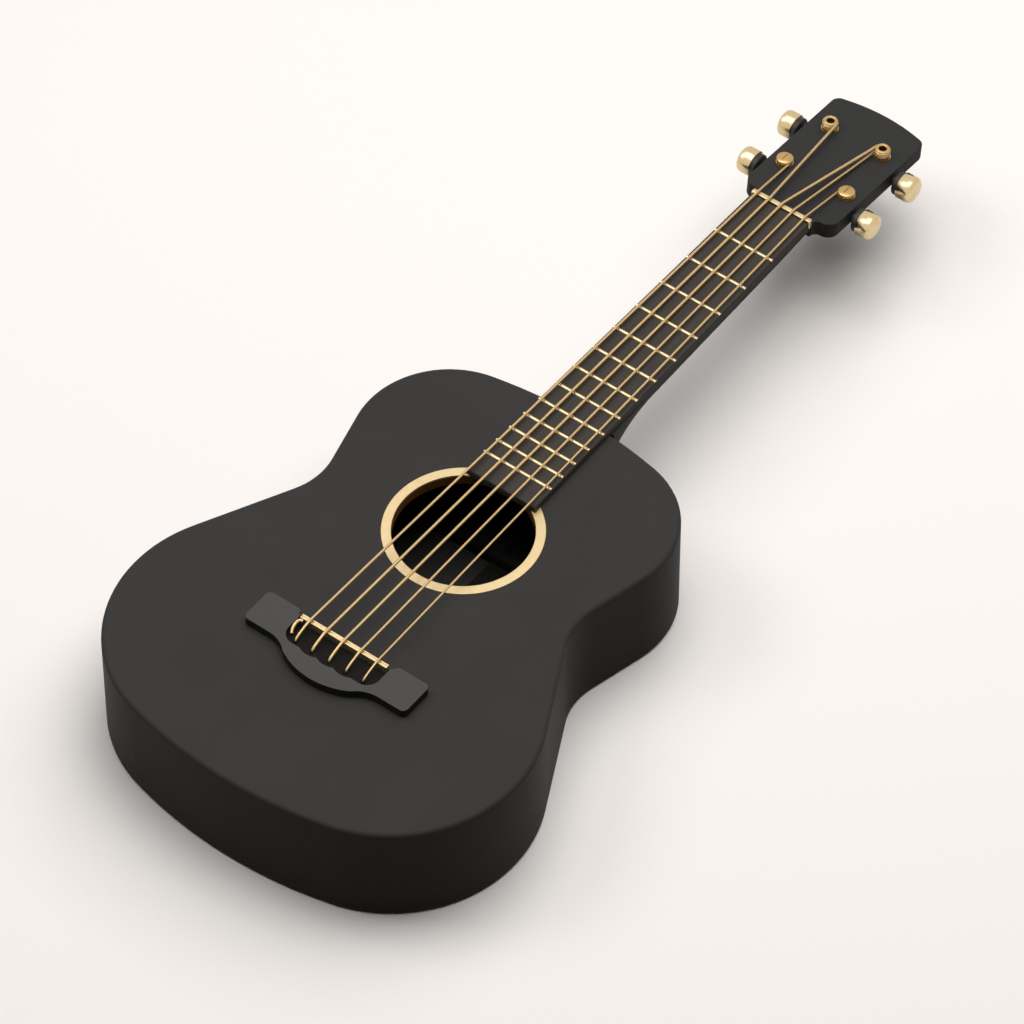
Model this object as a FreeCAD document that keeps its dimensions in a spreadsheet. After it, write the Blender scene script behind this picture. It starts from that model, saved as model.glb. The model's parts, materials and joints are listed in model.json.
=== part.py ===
"""Small acoustic guitar with a matte black body, five strings and four geared tuners.

Frame: +Y runs from the tail to the headstock along the centre line, +X is to the
right of the strings, +Z rises out of the soundboard. The origin lies on the outer
face of the back, under the saddle. Lengths are millimetres.
"""
import FreeCAD, Part
import math
import os

import Sketcher
from FreeCAD import Placement, Rotation, Vector

SIZES = (
    # strings and scale
    ("scale_length", 432.0, "saddle to nut"),
    ("string_count", 5, "strings"),
    ("string_radius", 0.85, "wound string"),
    ("crown_inset", 0.5, "string break, inside the far edge of the saddle or nut"),
    ("string_gap", 0.05, "running gap between a string and what it rests on"),
    ("nut_spacing", 8.8, "string to string at the nut"),
    ("saddle_spacing", 12.4, "string to string at the saddle"),
    # body
    ("body_length", 342.0, "tail to shoulder"),
    ("tail_offset", 114.5, "saddle to tail"),
    ("body_depth", 74.0, "back to soundboard, outside"),
    ("lower_bout_width", 279.0, "widest part"),
    ("waist_width", 191.0, "narrowest part"),
    ("upper_bout_width", 216.0, "shoulders"),
    ("waist_from_tail", 215.5, "tail to waist"),
    ("tail_radius", 292.0, "arc across the tail"),
    ("lower_bout_radius", 90.0, "arc of the lower bout"),
    ("waist_radius", 45.0, "hollow arc of the waist"),
    ("upper_bout_radius", 59.5, "arc of the upper bout"),
    ("shoulder_radius", 306.0, "arc across the shoulder"),
    ("top_thick", 3.2, "soundboard"),
    ("back_thick", 3.2, "back"),
    ("rib_thick", 2.5, "ribs"),
    ("edge_round", 3.0, "rounding of the soundboard and back edges"),
    ("lining_width", 5.0, "linings, inwards"),
    ("lining_height", 8.0, "linings, up the rib"),
    ("block_width", 64.0, "neck and end blocks, across"),
    ("neck_block_length", 36.0, "neck block, along the body"),
    ("end_block_length", 16.0, "end block, along the body"),
    ("brace_width", 6.0, "braces"),
    ("brace_height", 9.0, "braces"),
    ("strip_width", 16.0, "centre strip of the back"),
    ("strip_thick", 1.6, "centre strip of the back"),
    # sound hole
    ("hole_from_saddle", 114.0, "saddle to the middle of the sound hole"),
    ("hole_radius", 42.5, "inside of the ring and the hoop"),
    ("ring_width", 6.0, "ring around the sound hole"),
    ("ring_thick", 1.6, "ring"),
    ("ring_proud", 0.4, "ring above the soundboard"),
    ("hoop_thick", 1.2, "wooden hoop inside the hole"),
    ("hoop_height", 8.0, "wooden hoop inside the hole"),
    ("hoop_flange", 9.0, "flange of the hoop under the soundboard"),
    # bridge
    ("bridge_width", 118.0, "across the wings"),
    ("bridge_thick", 6.0, "height above the soundboard"),
    ("bridge_wing_front", 6.0, "front edge of a wing, ahead of the saddle"),
    ("bridge_wing_rear", 18.5, "rear edge of a wing, behind the saddle"),
    ("bridge_bow", 31.5, "deepest point of the bow, behind the saddle"),
    ("bridge_bow_half", 40.0, "half width of the bow"),
    ("bridge_corner", 3.5, "corner radius of a wing"),
    ("bridge_floor", 2.6, "floor of the string well"),
    ("well_half", 33.0, "half width of the string well"),
    ("well_rear", 17.0, "rear edge of the well, behind the saddle"),
    ("well_corner", 8.5, "corner radius of the well"),
    ("scallop_depth", 1.6, "scallop behind each string"),
    ("string_hole_radius", 1.3, "hole for a string"),
    ("string_hole_back", 13.5, "saddle to the string holes"),
    ("saddle_thick", 3.0, "saddle bar"),
    ("saddle_half", 31.5, "half length of the saddle bar"),
    ("saddle_slot", 1.4, "depth of the saddle slot"),
    ("saddle_proud", 7.8, "saddle above the soundboard"),
    ("saddle_round", 1.2, "rounding of the saddle"),
    ("plate_thick", 2.0, "bridge plate under the soundboard"),
    ("plate_width", 96.0, "bridge plate, across"),
    ("plate_length", 44.0, "bridge plate, along the body"),
    ("ball_radius", 2.2, "ball end of a string"),
    ("ball_length", 3.0, "ball end of a string"),
    # neck
    ("neck_half_nut", 21.5, "half width at the nut"),
    ("neck_half_end", 25.5, "half width at the end of the fretboard"),
    ("board_margin", 17.2, "last fret to the end of the fretboard"),
    ("board_thick", 5.0, "fretboard"),
    ("fret_count", 13, "frets"),
    ("first_share", 0.0891, "nut to the first fret, as a share of the scale"),
    ("second_share", 0.0657, "first fret to the second, as a share of the scale"),
    ("fret_ratio", 0.922, "each later gap over the one before"),
    ("fret_height", 1.0, "fret above the fretboard"),
    ("fret_width", 2.2, "fret crown"),
    ("tang_width", 0.8, "fret tang"),
    ("tang_depth", 2.0, "fret tang"),
    ("fret_inset", 0.4, "fret end inside the edge of the fretboard"),
    ("nut_length", 3.2, "nut, along the neck"),
    ("nut_side", 0.3, "nut beyond the fretboard, each side"),
    ("nut_round", 0.9, "rounding of the nut"),
    ("nut_height", 6.3, "nut above the neck"),
    ("neck_depth_nut", 14.5, "neck below the fretboard before the nut"),
    ("neck_taper", 24.0, "nut to where the neck thins into the headstock"),
    ("neck_depth_heel", 17.5, "neck below the fretboard before the heel"),
    ("heel_length", 46.0, "heel flare, along the neck"),
    ("heel_spread", 3.0, "heel flare, each side"),
    ("heel_depth", 62.0, "heel below the soundboard"),
    ("heel_root", 8.0, "heel behind the shoulder before it is trimmed to the ribs"),
    ("board_corner", 1.0, "corner radius of the fretboard"),
    ("rod_radius", 3.0, "truss rod"),
    ("rod_cover", 1.5, "fretboard to the truss rod"),
    ("rod_wall", 4.0, "neck bolt to the truss rod"),
    ("rod_margin", 19.5, "nut to the end of the truss rod"),
    ("bolt_radius", 3.0, "neck bolts"),
    ("bolt_head_radius", 5.0, "neck bolts"),
    ("bolt_head_length", 4.0, "neck bolts"),
    ("bolt_reach", 11.0, "neck bolt inside the heel"),
    ("bolt_first", 14.0, "soundboard to the upper neck bolt"),
    ("bolt_step", 15.0, "upper to lower neck bolt"),
    # headstock
    ("head_tilt", 5.0, "headstock leans back, degrees"),
    ("head_half", 33.5, "half width"),
    ("head_length", 104.5, "nut to the corner of the top edge"),
    ("head_bow", 4.5, "rise of the top edge"),
    ("head_corner", 5.0, "corner radius"),
    ("head_round", 2.0, "rounding of the back edges"),
    ("head_thick", 9.5, "wood"),
    ("shoulder_hollow", 4.0, "hollow arc beside the nut"),
    ("headplate_thick", 2.5, "facing of the headstock"),
    # tuners
    ("upper_post_half", 19.7, "centre line to an upper post"),
    ("lower_post_half", 23.2, "centre line to a lower post"),
    ("upper_post_along", 74.5, "nut to the upper tuners"),
    ("lower_post_along", 31.0, "nut to the lower tuners"),
    ("shaft_drop", 7.6, "knob axis below the face"),
    ("post_radius", 2.5, "post in its bushing"),
    ("spool_radius", 3.6, "post under the winding"),
    ("cap_disc_radius", 5.3, "low disc of a lower post"),
    ("running_gap", 0.05, "radial gap of a turning shaft"),
    ("end_gap", 0.25, "end gap of a turning piece"),
    ("bushing_radius", 4.6, "bushing in the headstock"),
    ("bushing_flange", 5.6, "flange of the bushing"),
    ("flange_thick", 0.6, "flange of the bushing"),
    ("worm_radius", 2.1, "worm over its thread"),
    ("worm_length", 8.0, "worm"),
    ("worm_shaft_radius", 1.5, "knob shaft"),
    ("wheel_radius", 3.7, "worm wheel over its teeth"),
    ("wheel_thick", 2.6, "worm wheel"),
    ("wheel_teeth", 14, "teeth of the worm wheel"),
    ("mesh_gap", 0.2, "between the worm and the wheel"),
    ("housing_width", 15.0, "gear housing, across"),
    ("housing_wall", 1.6, "gear housing around its hollow"),
    ("cover_thick", 1.6, "cover of the gear housing"),
    ("screw_radius", 0.7, "cover screws"),
    ("screw_head_radius", 1.3, "cover screws"),
    ("collar_radius", 3.4, "black collar of a knob"),
    ("collar_length", 2.6, "black collar of a knob"),
    ("base_radius", 7.7, "black base of a knob"),
    ("base_length", 3.6, "black base of a knob"),
    ("knob_radius", 8.6, "gold cap of a knob"),
    ("knob_length", 10.0, "gold cap of a knob"),
    ("knob_round", 2.2, "rounded end of a knob"),
)

doc = FreeCAD.newDocument("guitar")
sheet = doc.addObject("Spreadsheet::Sheet", "Sizes")
size = {}
for row, (name, value, meaning) in enumerate(SIZES, start=1):
    sheet.set("A%d" % row, meaning)
    sheet.set("B%d" % row, str(value))
    sheet.setAlias("B%d" % row, name)
    size[name] = value
doc.recompute()

nodes = []


class Sized:
    """Reads a driving size as an attribute."""

    def __getattr__(self, name):
        return size[name]


s = Sized()


# ---------------------------------------------------------------- helpers
def bind(obj, **expressions):
    """Binds properties of an object to the sheet; bare size names are looked up there."""
    for prop, text in expressions.items():
        for name in sorted(size, key=len, reverse=True):
            text = text.replace("#" + name + "#", "Sizes." + name)
        obj.setExpression(prop.replace("__", "."), text)


def keep(obj, label):
    """Names an object as one sub-part of the guitar."""
    for other in doc.getObjectsByLabel(label):
        if other.Name != obj.Name:
            other.Label = label + "_blank"
    obj.Label = label
    nodes.append(obj)
    return obj


def vec(x, y, z=0.0):
    return Vector(x, y, z)


def path(points):
    """Edges through points; an entry of four numbers is an arc by a middle point."""
    edges = []
    here = vec(*points[0][-2:])
    for entry in points[1:]:
        there = vec(*entry[-2:])
        if len(entry) == 4:
            edges.append(Part.Arc(here, vec(*entry[:2]), there))
        elif (there - here).Length > 1e-6:
            edges.append(Part.LineSegment(here, there))
        here = there
    return edges


def sketch_on(body, role, edges, loops=()):
    """Sketch on an origin plane of the body: one closed loop and any further ones."""
    sketch = body.newObject("Sketcher::SketchObject", body.Name + "_sketch")
    plane = [f for f in body.Origin.OriginFeatures if f.Role == role][0]
    sketch.AttachmentSupport = [(plane, "")]
    sketch.MapMode = "FlatFace"
    for loop in (edges,) + tuple(loops):
        first = sketch.GeometryCount
        for edge in loop:
            sketch.addGeometry(edge, False)
        last = sketch.GeometryCount - 1
        for index in range(first, last):
            join_ends(sketch, index, index + 1)
        if last > first:
            join_ends(sketch, last, first)
    return sketch


def join_ends(sketch, one, other):
    """Coincident constraint between the nearest ends of two edges."""
    best = None
    for a in (1, 2):
        for b in (1, 2):
            gap = (sketch.getPoint(one, a) - sketch.getPoint(other, b)).Length
            if best is None or gap < best[0]:
                best = (gap, a, b)
    sketch.addConstraint(Sketcher.Constraint("Coincident", one, best[1], other, best[2]))


def round_hole(sketch_loops, x, y, radius):
    """Adds a circle to a list of loops."""
    sketch_loops.append([Part.Circle(vec(x, y), vec(0, 0, 1), radius)])


def plate(name, edges, thick, low, loops=(), place=None):
    """Body padded upwards from a closed outline; thick and low are expressions."""
    body = doc.addObject("PartDesign::Body", name)
    sketch = sketch_on(body, "XY_Plane", edges, loops)
    pad = body.newObject("PartDesign::Pad", name + "_pad")
    pad.Profile = sketch
    bind(pad, Length=thick)
    if place is None:
        bind(body, Placement__Base__z=low)
    else:
        body.Placement = place
    doc.recompute()
    return body


def turned(name, points, place):
    """Body revolved about its Z axis from (radius, height) points."""
    body = doc.addObject("PartDesign::Body", name)
    sketch = sketch_on(body, "XZ_Plane", path(points + [points[0]]))
    turn = body.newObject("PartDesign::Revolution", name + "_turn")
    turn.Profile = sketch
    turn.ReferenceAxis = (sketch, ["V_Axis"])
    turn.Angle = 360.0
    body.Placement = place
    doc.recompute()
    return body


def pocket(body, name, edges, depth, loops=(), height=None):
    """Cuts a pocket downwards from a height above the body's base plane."""
    sketch = sketch_on(body, "XY_Plane", edges, loops)
    sketch.Label = name + "_outline"
    sketch.AttachmentOffset = Placement(vec(0, 0, height), Rotation())
    before = body.Shape.Volume
    cut = body.newObject("PartDesign::Pocket", name)
    cut.Profile = sketch
    bind(cut, Length=depth)
    doc.recompute()
    if not cut.Shape.Volume < before - 1e-3:
        cut.Reversed = True
        doc.recompute()
    assert cut.Shape.Volume < before - 1e-3, name + " cuts nothing"
    return cut


def soften(body, name, radius, chosen):
    """Fillets the chosen edges of a body's tip."""
    base = body.Tip
    names = ["Edge%d" % (i + 1) for i, e in enumerate(base.Shape.Edges) if chosen(e)]
    fillet = body.newObject("PartDesign::Fillet", name)
    fillet.Base = (base, names)
    bind(fillet, Radius=radius)
    doc.recompute()
    return fillet


def box(name, corner, dims):
    """Part::Box from expressions for its low corner and its lengths."""
    obj = doc.addObject("Part::Box", name)
    bind(obj, Length=dims[0], Width=dims[1], Height=dims[2])
    bind(obj, Placement__Base__x=corner[0], Placement__Base__y=corner[1])
    bind(obj, Placement__Base__z=corner[2])
    return obj


def crowned(name, bar, height, radius):
    """Fillets the two long top edges of a bar that lies across the guitar."""
    doc.recompute()
    top = [(index + 1, radius, radius) for index, e in enumerate(bar.Shape.Edges)
           if abs(e.BoundBox.ZMin - height) < 1e-6 and e.BoundBox.XLength > 1e-3]
    rounded = doc.addObject("Part::Fillet", name + "_rounded")
    rounded.Base = bar
    rounded.Edges = top
    return rounded


def placed_box(name, place, dims):
    """Part::Box with expressions for its lengths, set down by a placement."""
    obj = doc.addObject("Part::Box", name)
    bind(obj, Length=dims[0], Width=dims[1], Height=dims[2])
    obj.Placement = place
    return obj


def rod(name, place, radius, length):
    """Part::Cylinder with expressions for radius and length, set down by a placement."""
    obj = doc.addObject("Part::Cylinder", name)
    bind(obj, Radius=radius, Height=length)
    obj.Placement = place
    return obj


def group(name, objects):
    """Compound of separate solids."""
    obj = doc.addObject("Part::Compound", name)
    obj.Links = objects
    return obj


def cut(name, base, tools):
    """Part::Cut of one object by one or several others."""
    tool = tools[0]
    if len(tools) > 1:
        tool = doc.addObject("Part::MultiFuse", name + "_tools")
        tool.Shapes = tools
    obj = doc.addObject("Part::Cut", name + "_cut")
    obj.Base = base
    obj.Tool = tool
    return obj


def feature(name, shape):
    obj = doc.addObject("Part::Feature", name + "_shape")
    obj.Shape = shape
    return obj


# ---------------------------------------------------------------- body outline
def touch(centre_a, radius_a, centre_b, radius_b, side):
    """Ends of the line that crosses between two circles and touches both."""
    across = centre_b - centre_a
    along = Vector(across).normalize()
    lean = (radius_a + radius_b) / across.Length
    normal = Vector(-along.y, along.x, 0) * side
    way = along * lean + normal * math.sqrt(1.0 - lean * lean)
    return centre_a + way * radius_a, centre_b - way * radius_b


def outline_arcs(inset):
    """Centres, radii and joints of the right half of the body, drawn in by an inset."""
    tail = -s.tail_offset
    shoulder = s.body_length - s.tail_offset
    tail_centre = vec(0, tail + s.tail_radius)
    lower_x = s.lower_bout_width / 2 - s.lower_bout_radius
    lower_span = s.tail_radius - s.lower_bout_radius
    lower = vec(lower_x, tail_centre.y - math.sqrt(lower_span ** 2 - lower_x ** 2))
    waist = vec(s.waist_width / 2 + s.waist_radius, tail + s.waist_from_tail)
    shoulder_centre = vec(0, shoulder - s.shoulder_radius)
    upper_x = s.upper_bout_width / 2 - s.upper_bout_radius
    upper_span = s.shoulder_radius - s.upper_bout_radius
    upper = vec(upper_x, shoulder_centre.y + math.sqrt(upper_span ** 2 - upper_x ** 2))
    radii = (s.tail_radius - inset, s.lower_bout_radius - inset, s.waist_radius + inset,
             s.upper_bout_radius - inset, s.shoulder_radius - inset)
    tail_joint = tail_centre + (lower - tail_centre).normalize() * radii[0]
    flank_low, flank_high = touch(lower, radii[1], waist, radii[2], -1)
    shoulder_low, shoulder_high = touch(upper, radii[3], waist, radii[2], 1)
    shoulder_joint = shoulder_centre + (upper - shoulder_centre).normalize() * radii[4]
    return ((tail_centre, lower, waist, upper, shoulder_centre), radii,
            (tail_joint, flank_low, flank_high, shoulder_high, shoulder_low, shoulder_joint))


def arc_entry(centre, radius, start, end):
    """Four numbers for an arc of a circle from a start to an end point."""
    middle = (start + end) * 0.5 - centre
    middle = centre + middle.normalize() * radius
    return (middle.x, middle.y, end.x, end.y)


def half_outline(inset, start_x=0.0):
    """Right half from the tail to the shoulder, cut off at start_x at both ends."""
    centres, radii, joints = outline_arcs(inset)
    first = vec(start_x, centres[0].y - math.sqrt(radii[0] ** 2 - start_x ** 2))
    last = vec(start_x, centres[4].y + math.sqrt(radii[4] ** 2 - start_x ** 2))
    return [(first.x, first.y),
            arc_entry(centres[0], radii[0], first, joints[0]),
            arc_entry(centres[1], radii[1], joints[0], joints[1]),
            (joints[2].x, joints[2].y),
            arc_entry(centres[2], radii[2], joints[2], joints[3]),
            (joints[4].x, joints[4].y),
            arc_entry(centres[3], radii[3], joints[4], joints[5]),
            arc_entry(centres[4], radii[4], joints[5], last)]


def mirrored(points):
    """The same points on the left of the centre line."""
    flipped = []
    for entry in points:
        if len(entry) == 4:
            flipped.append((-entry[0], entry[1], -entry[2], entry[3]))
        else:
            flipped.append((-entry[0], entry[1]))
    return flipped


def turned_round(points):
    """The same edges walked from the other end."""
    back = [points[-1][-2:]]
    for index in range(len(points) - 1, 0, -1):
        before = points[index - 1][-2:]
        entry = points[index]
        back.append(tuple(entry[:2]) + tuple(before) if len(entry) == 4 else tuple(before))
    return back


def whole_outline(inset):
    """Closed outline of the body."""
    right = half_outline(inset)
    return path(right + turned_round(mirrored(right))[1:])


def strip_outline(outer, inner, start_x):
    """Closed band between two insets of the right half."""
    out = half_outline(outer, start_x)
    back = turned_round(half_outline(inner, start_x))
    return out + back + [out[0]]


def inner_half_width(y, inset):
    """Distance from the centre line to the inset outline at a height along the body."""
    wall = Part.Wire([e.toShape() for e in path(half_outline(inset))])
    ray = Part.makeLine(vec(0, y), vec(s.lower_bout_width, y))
    return wall.distToShape(ray)[1][0][0].x


top_z = s.body_depth
shoulder_y = s.body_length - s.tail_offset
under_top = "#body_depth# - #top_thick#"
hole_y = s.hole_from_saddle
ring_radius = s.hole_radius + s.ring_width
hoop_radius = s.hole_radius + s.hoop_thick


def string_xs(spacing):
    """Places of the strings across the neck."""
    middle = (s.string_count - 1) / 2
    return [(index - middle) * spacing for index in range(s.string_count)]


def string_hole_loops(radius):
    """Circles of the string holes."""
    loops = []
    for x in string_xs(s.saddle_spacing):
        round_hole(loops, x, -s.string_hole_back, radius)
    return loops


# ---------------------------------------------------------------- sound box
def is_rim(height):
    """Picks the open edges of the outline that lie at one height."""
    def chosen(edge):
        box_ = edge.BoundBox
        level = abs(box_.ZMin - height) < 1e-4 and abs(box_.ZMax - height) < 1e-4
        return level and not edge.isClosed()
    return chosen


def make_soundboard():
    loops = string_hole_loops(s.string_hole_radius)
    round_hole(loops, 0, hole_y, hoop_radius)
    body = plate("soundboard", whole_outline(0), "#top_thick#", under_top, loops)
    soften(body, "soundboard_round", "min(#edge_round#; #top_thick# * 0.94)", is_rim(s.top_thick))
    ring = [Part.Circle(vec(0, hole_y), vec(0, 0, 1), ring_radius)]
    pocket(body, "ring_recess", ring, "#ring_thick# - #ring_proud#", (), s.top_thick)
    return keep(body, "soundboard")


def make_back():
    body = plate("back_plate", whole_outline(0), "#back_thick#", "0")
    soften(body, "back_round", "min(#edge_round#; #back_thick# * 0.94)", is_rim(0))
    return keep(body, "back_plate")


def make_ribs():
    depth = "#body_depth# - #top_thick# - #back_thick#"
    right = strip_outline(0, s.rib_thick, 0)
    sides = (("rib_right", right), ("rib_left", mirrored(right)))
    for name, points in sides:
        body = plate(name, path(points), depth, "#back_thick#")
        doc.recompute()
        keep(cut(name, body, bolt_rods(name, "#bolt_radius#")), name)


def bolt_rods(name, radius):
    """The space of the neck bolts, from inside the body into the heel."""
    rods = []
    for index in range(2):
        start = neck_block_face()
        z = top_z - s.bolt_first - index * s.bolt_step
        place = Placement(vec(0, start, z), Rotation(vec(1, 0, 0), -90))
        length = shoulder_y - start + s.bolt_reach
        rods.append(rod("%s_bolt_hole_%d" % (name, index + 1), place, radius, "%r" % length))
    return rods


def neck_block_face():
    return shoulder_y - s.rib_thick - s.neck_block_length


def block_outline(at_shoulder):
    """Block against the inside of the ribs, at the shoulder or at the tail."""
    half = s.block_width / 2
    points = half_outline(s.rib_thick, half)
    centres, radii, _ = outline_arcs(s.rib_thick)
    if at_shoulder:
        y = points[-1][-1]
        crown = centres[4].y + radii[4]
        flat = neck_block_face()
    else:
        y = points[0][-1]
        crown = centres[0].y - radii[0]
        flat = -s.tail_offset + s.rib_thick + s.end_block_length
    return path([(-half, y), (0, crown, half, y), (half, flat), (-half, flat), (-half, y)])


def make_blocks():
    depth = "#body_depth# - #top_thick# - #back_thick#"
    neck_block = plate("neck_block", block_outline(True), depth, "#back_thick#")
    keep(cut("neck_block", neck_block, bolt_rods("block", "#bolt_radius#")), "neck_block")
    keep(plate("end_block", block_outline(False), depth, "#back_thick#"), "end_block")


def make_linings():
    levels = (("top_lining", under_top + " - #lining_height#"), ("back_lining", "#back_thick#"))
    inner = s.rib_thick + s.lining_width
    right = strip_outline(s.rib_thick, inner, s.block_width / 2)
    for name, low in levels:
        halves = []
        for side, points in (("right", right), ("left", mirrored(right))):
            halves.append(plate("%s_%s" % (name, side), path(points), "#lining_height#", low))
        keep(group(name, halves), name)


def cross_bar(name, y, low, height):
    """Brace from lining to lining, centred on y."""
    inset = s.rib_thick + s.lining_width
    edges = (y - s.brace_width / 2, y + s.brace_width / 2)
    half = min(inner_half_width(edge, inset) for edge in edges) - s.end_gap
    return box(name, ("%r" % -half, "%r" % edges[0], low),
               ("%r" % (2 * half), "#brace_width#", height))


def make_braces():
    below_top = under_top + " - #brace_height#"
    reach = hoop_radius + s.hoop_flange + s.brace_width / 2 + s.end_gap
    bars = [cross_bar("top_bar_low", hole_y - reach, below_top, "#brace_height#"),
            cross_bar("top_bar_high", hole_y + reach, below_top, "#brace_height#")]
    strut_top = hole_y - reach - s.brace_width / 2
    strut_low = -s.string_hole_back - s.plate_length
    for side in (-1, 1):
        x = side * (s.plate_width / 2 + s.brace_width) - s.brace_width / 2
        bars.append(box("top_strut_%d" % (side + 2), ("%r" % x, "%r" % strut_low, below_top),
                        ("#brace_width#", "%r" % (strut_top - strut_low), "#brace_height#")))
    keep(group("top_braces", bars), "top_braces")

    strip_low = -s.tail_offset + s.rib_thick + s.end_block_length
    strip = box("back_centre_strip", ("-#strip_width# / 2", "%r" % strip_low, "#back_thick#"),
                ("#strip_width#", "%r" % (neck_block_face() - strip_low), "#strip_thick#"))
    keep(strip, "back_centre_strip")
    crossings = back_bar_places(strip_low)
    back_bars = [cross_bar("back_bar_%d" % (index + 1), y, "#back_thick#", "#brace_height#")
                 for index, y in enumerate(crossings)]
    notch = box("strip_notch", ("-#strip_width# / 2", "%r" % strip_low, "0"),
                ("#strip_width#", "%r" % (neck_block_face() - strip_low),
                 "#back_thick# + #strip_thick#"))
    keep(cut("back_braces", group("back_bars", back_bars), [notch]), "back_braces")


def back_bar_places(low):
    """Four bars, evenly spaced between the end block and the neck block."""
    gap = (neck_block_face() - low) / 4
    return [low + gap * (index + 0.5) for index in range(4)]


def make_bridge_plate():
    body = plate("bridge_plate", path(plate_points()), "#plate_thick#",
                 under_top + " - #plate_thick#", string_hole_loops(s.string_hole_radius))
    return keep(body, "bridge_plate")


def plate_points():
    half = s.plate_width / 2
    low = -s.string_hole_back - s.plate_length / 2
    high = low + s.plate_length
    return [(-half, low), (half, low), (half, high), (-half, high), (-half, low)]


def make_sound_hole():
    centre = Placement(vec(0, hole_y, 0), Rotation())
    floor = top_z - s.ring_thick + s.ring_proud
    crown = top_z + s.ring_proud
    inner = s.hole_radius
    bevel = s.ring_proud / 2
    ring = [(inner, floor), (ring_radius, floor), (ring_radius, crown - bevel),
            (ring_radius - bevel, crown), (inner + bevel, crown), (inner, crown - bevel)]
    keep(turned("soundhole_ring", ring, centre), "soundhole_ring")
    hoop_low = floor - s.hoop_height + s.ring_thick
    flange = top_z - s.top_thick
    outer = hoop_radius + s.hoop_flange
    hoop = [(inner, hoop_low), (outer, hoop_low), (outer, flange), (hoop_radius, flange),
            (hoop_radius, floor), (inner, floor)]
    keep(turned("soundhole_hoop", hoop, centre), "soundhole_hoop")


# ---------------------------------------------------------------- bridge
def bridge_outline():
    """Right half of the bridge from the bow to the front edge, then its mirror."""
    half = s.bridge_width / 2
    r = s.bridge_corner
    q = r * (1 - math.sqrt(0.5))
    rear = -s.bridge_wing_rear
    bow = -s.bridge_bow
    bend = s.bridge_bow_half
    front = s.bridge_wing_front
    middle_x = bend * 0.62
    middle_y = bow + (rear - bow) * 0.52
    slope_y = bow + (middle_y - bow) * 0.26
    saddle_front = s.saddle_thick
    inner = s.well_half + 1.5
    right = [(0, bow), (middle_x * 0.52, slope_y, middle_x, middle_y),
             (middle_x + (bend - middle_x) * 0.5, middle_y + (rear - middle_y) * 0.78, bend, rear),
             (half - r, rear), (half - q, rear + q, half, rear + r), (half, front - r),
             (half - q, front - q, half - r, front), (inner + r, front),
             (inner + q, front - q, inner, front - r + 0.2), (inner - 1.5, saddle_front)]
    return path(right + turned_round(mirrored(right)) + [right[0]])


def well_outline():
    """String well, open to the front, scalloped behind each string."""
    half = s.well_half
    r = s.well_corner
    q = r * (1 - math.sqrt(0.5))
    rear = -s.well_rear
    front = s.bridge_wing_front + 1
    xs = string_xs(s.saddle_spacing)
    step = s.saddle_spacing / 2
    points = [(half, front), (half, rear + r), (half - q, rear + q, half - r, rear)]
    for x in reversed(xs[1:-1]):
        points.append((x + step, rear))
        points.append((x, rear - s.scallop_depth, x - step, rear))
    points += [(-half + r, rear), (-half + q, rear + q, -half, rear + r), (-half, front),
               (half, front)]
    return path(points)


def make_bridge():
    body = plate("bridge", bridge_outline(), "#bridge_thick#", "#body_depth#",
                 string_hole_loops(s.string_hole_radius))
    pocket(body, "string_well", well_outline(), "#bridge_thick# - #bridge_floor#", (),
           s.bridge_thick)
    slot = path([(-s.saddle_half, 0), (s.saddle_half, 0), (s.saddle_half, s.saddle_thick),
                 (-s.saddle_half, s.saddle_thick), (-s.saddle_half, 0)])
    pocket(body, "saddle_slot_cut", slot, "#saddle_slot#", (), s.bridge_floor)
    keep(body, "bridge")
    low = "#body_depth# + #bridge_floor# - #saddle_slot#"
    saddle = box("saddle_bar", ("-#saddle_half#", "0", low),
                 ("2 * #saddle_half#", "#saddle_thick#",
                  "#saddle_proud# - #bridge_floor# + #saddle_slot#"))
    keep(crowned("saddle", saddle, top_z + s.saddle_proud, s.saddle_round), "saddle")


# ---------------------------------------------------------------- neck
nut_y = s.scale_length
head_y = nut_y + s.nut_length
tilt = Rotation(vec(1, 0, 0), -s.head_tilt)
face_point = vec(0, head_y, top_z) + tilt.multVec(vec(0, 0, s.headplate_thick))
head_frame = Placement(face_point, tilt)


def fret_places():
    """Fret centres from the nut down, each later gap a fixed ratio of the one before."""
    y = nut_y - s.scale_length * s.first_share
    places = [y]
    gap = s.scale_length * s.second_share
    for _ in range(s.fret_count - 1):
        y -= gap
        gap *= s.fret_ratio
        places.append(y)
    return places


board_end = fret_places()[-1] - s.board_margin


def board_half(y):
    """Half width of the fretboard along the neck."""
    share = (nut_y - y) / (nut_y - board_end)
    return s.neck_half_nut + (s.neck_half_end - s.neck_half_nut) * share


def make_fretboard():
    low = board_end
    r = s.board_corner
    q = r * (1 - math.sqrt(0.5))
    wide = board_half(low)
    nut = s.neck_half_nut
    points = [(-nut, nut_y), (-board_half(low + r), low + r), (-wide + q, low + q, -wide + r, low),
              (wide - r, low), (wide - q, low + q, board_half(low + r), low + r),
              (nut, nut_y), (-nut, nut_y)]
    board = plate("fretboard", path(points), "#board_thick#", "#body_depth#")
    relief = rod("ring_relief", Placement(vec(0, hole_y, top_z - 1), Rotation()),
                 "#hole_radius# + #ring_width# + #running_gap#", "1 + #ring_proud#")
    slots = []
    for index, y in enumerate(fret_places()):
        slots.append(box("slot_%d" % (index + 1),
                         ("-#neck_half_end# * 2", "%r - #tang_width# / 2" % y,
                          "#body_depth# + #board_thick# - #tang_depth#"),
                         ("#neck_half_end# * 4", "#tang_width#", "#tang_depth#")))
    keep(cut("fretboard", board, [relief] + slots), "fretboard")


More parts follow.
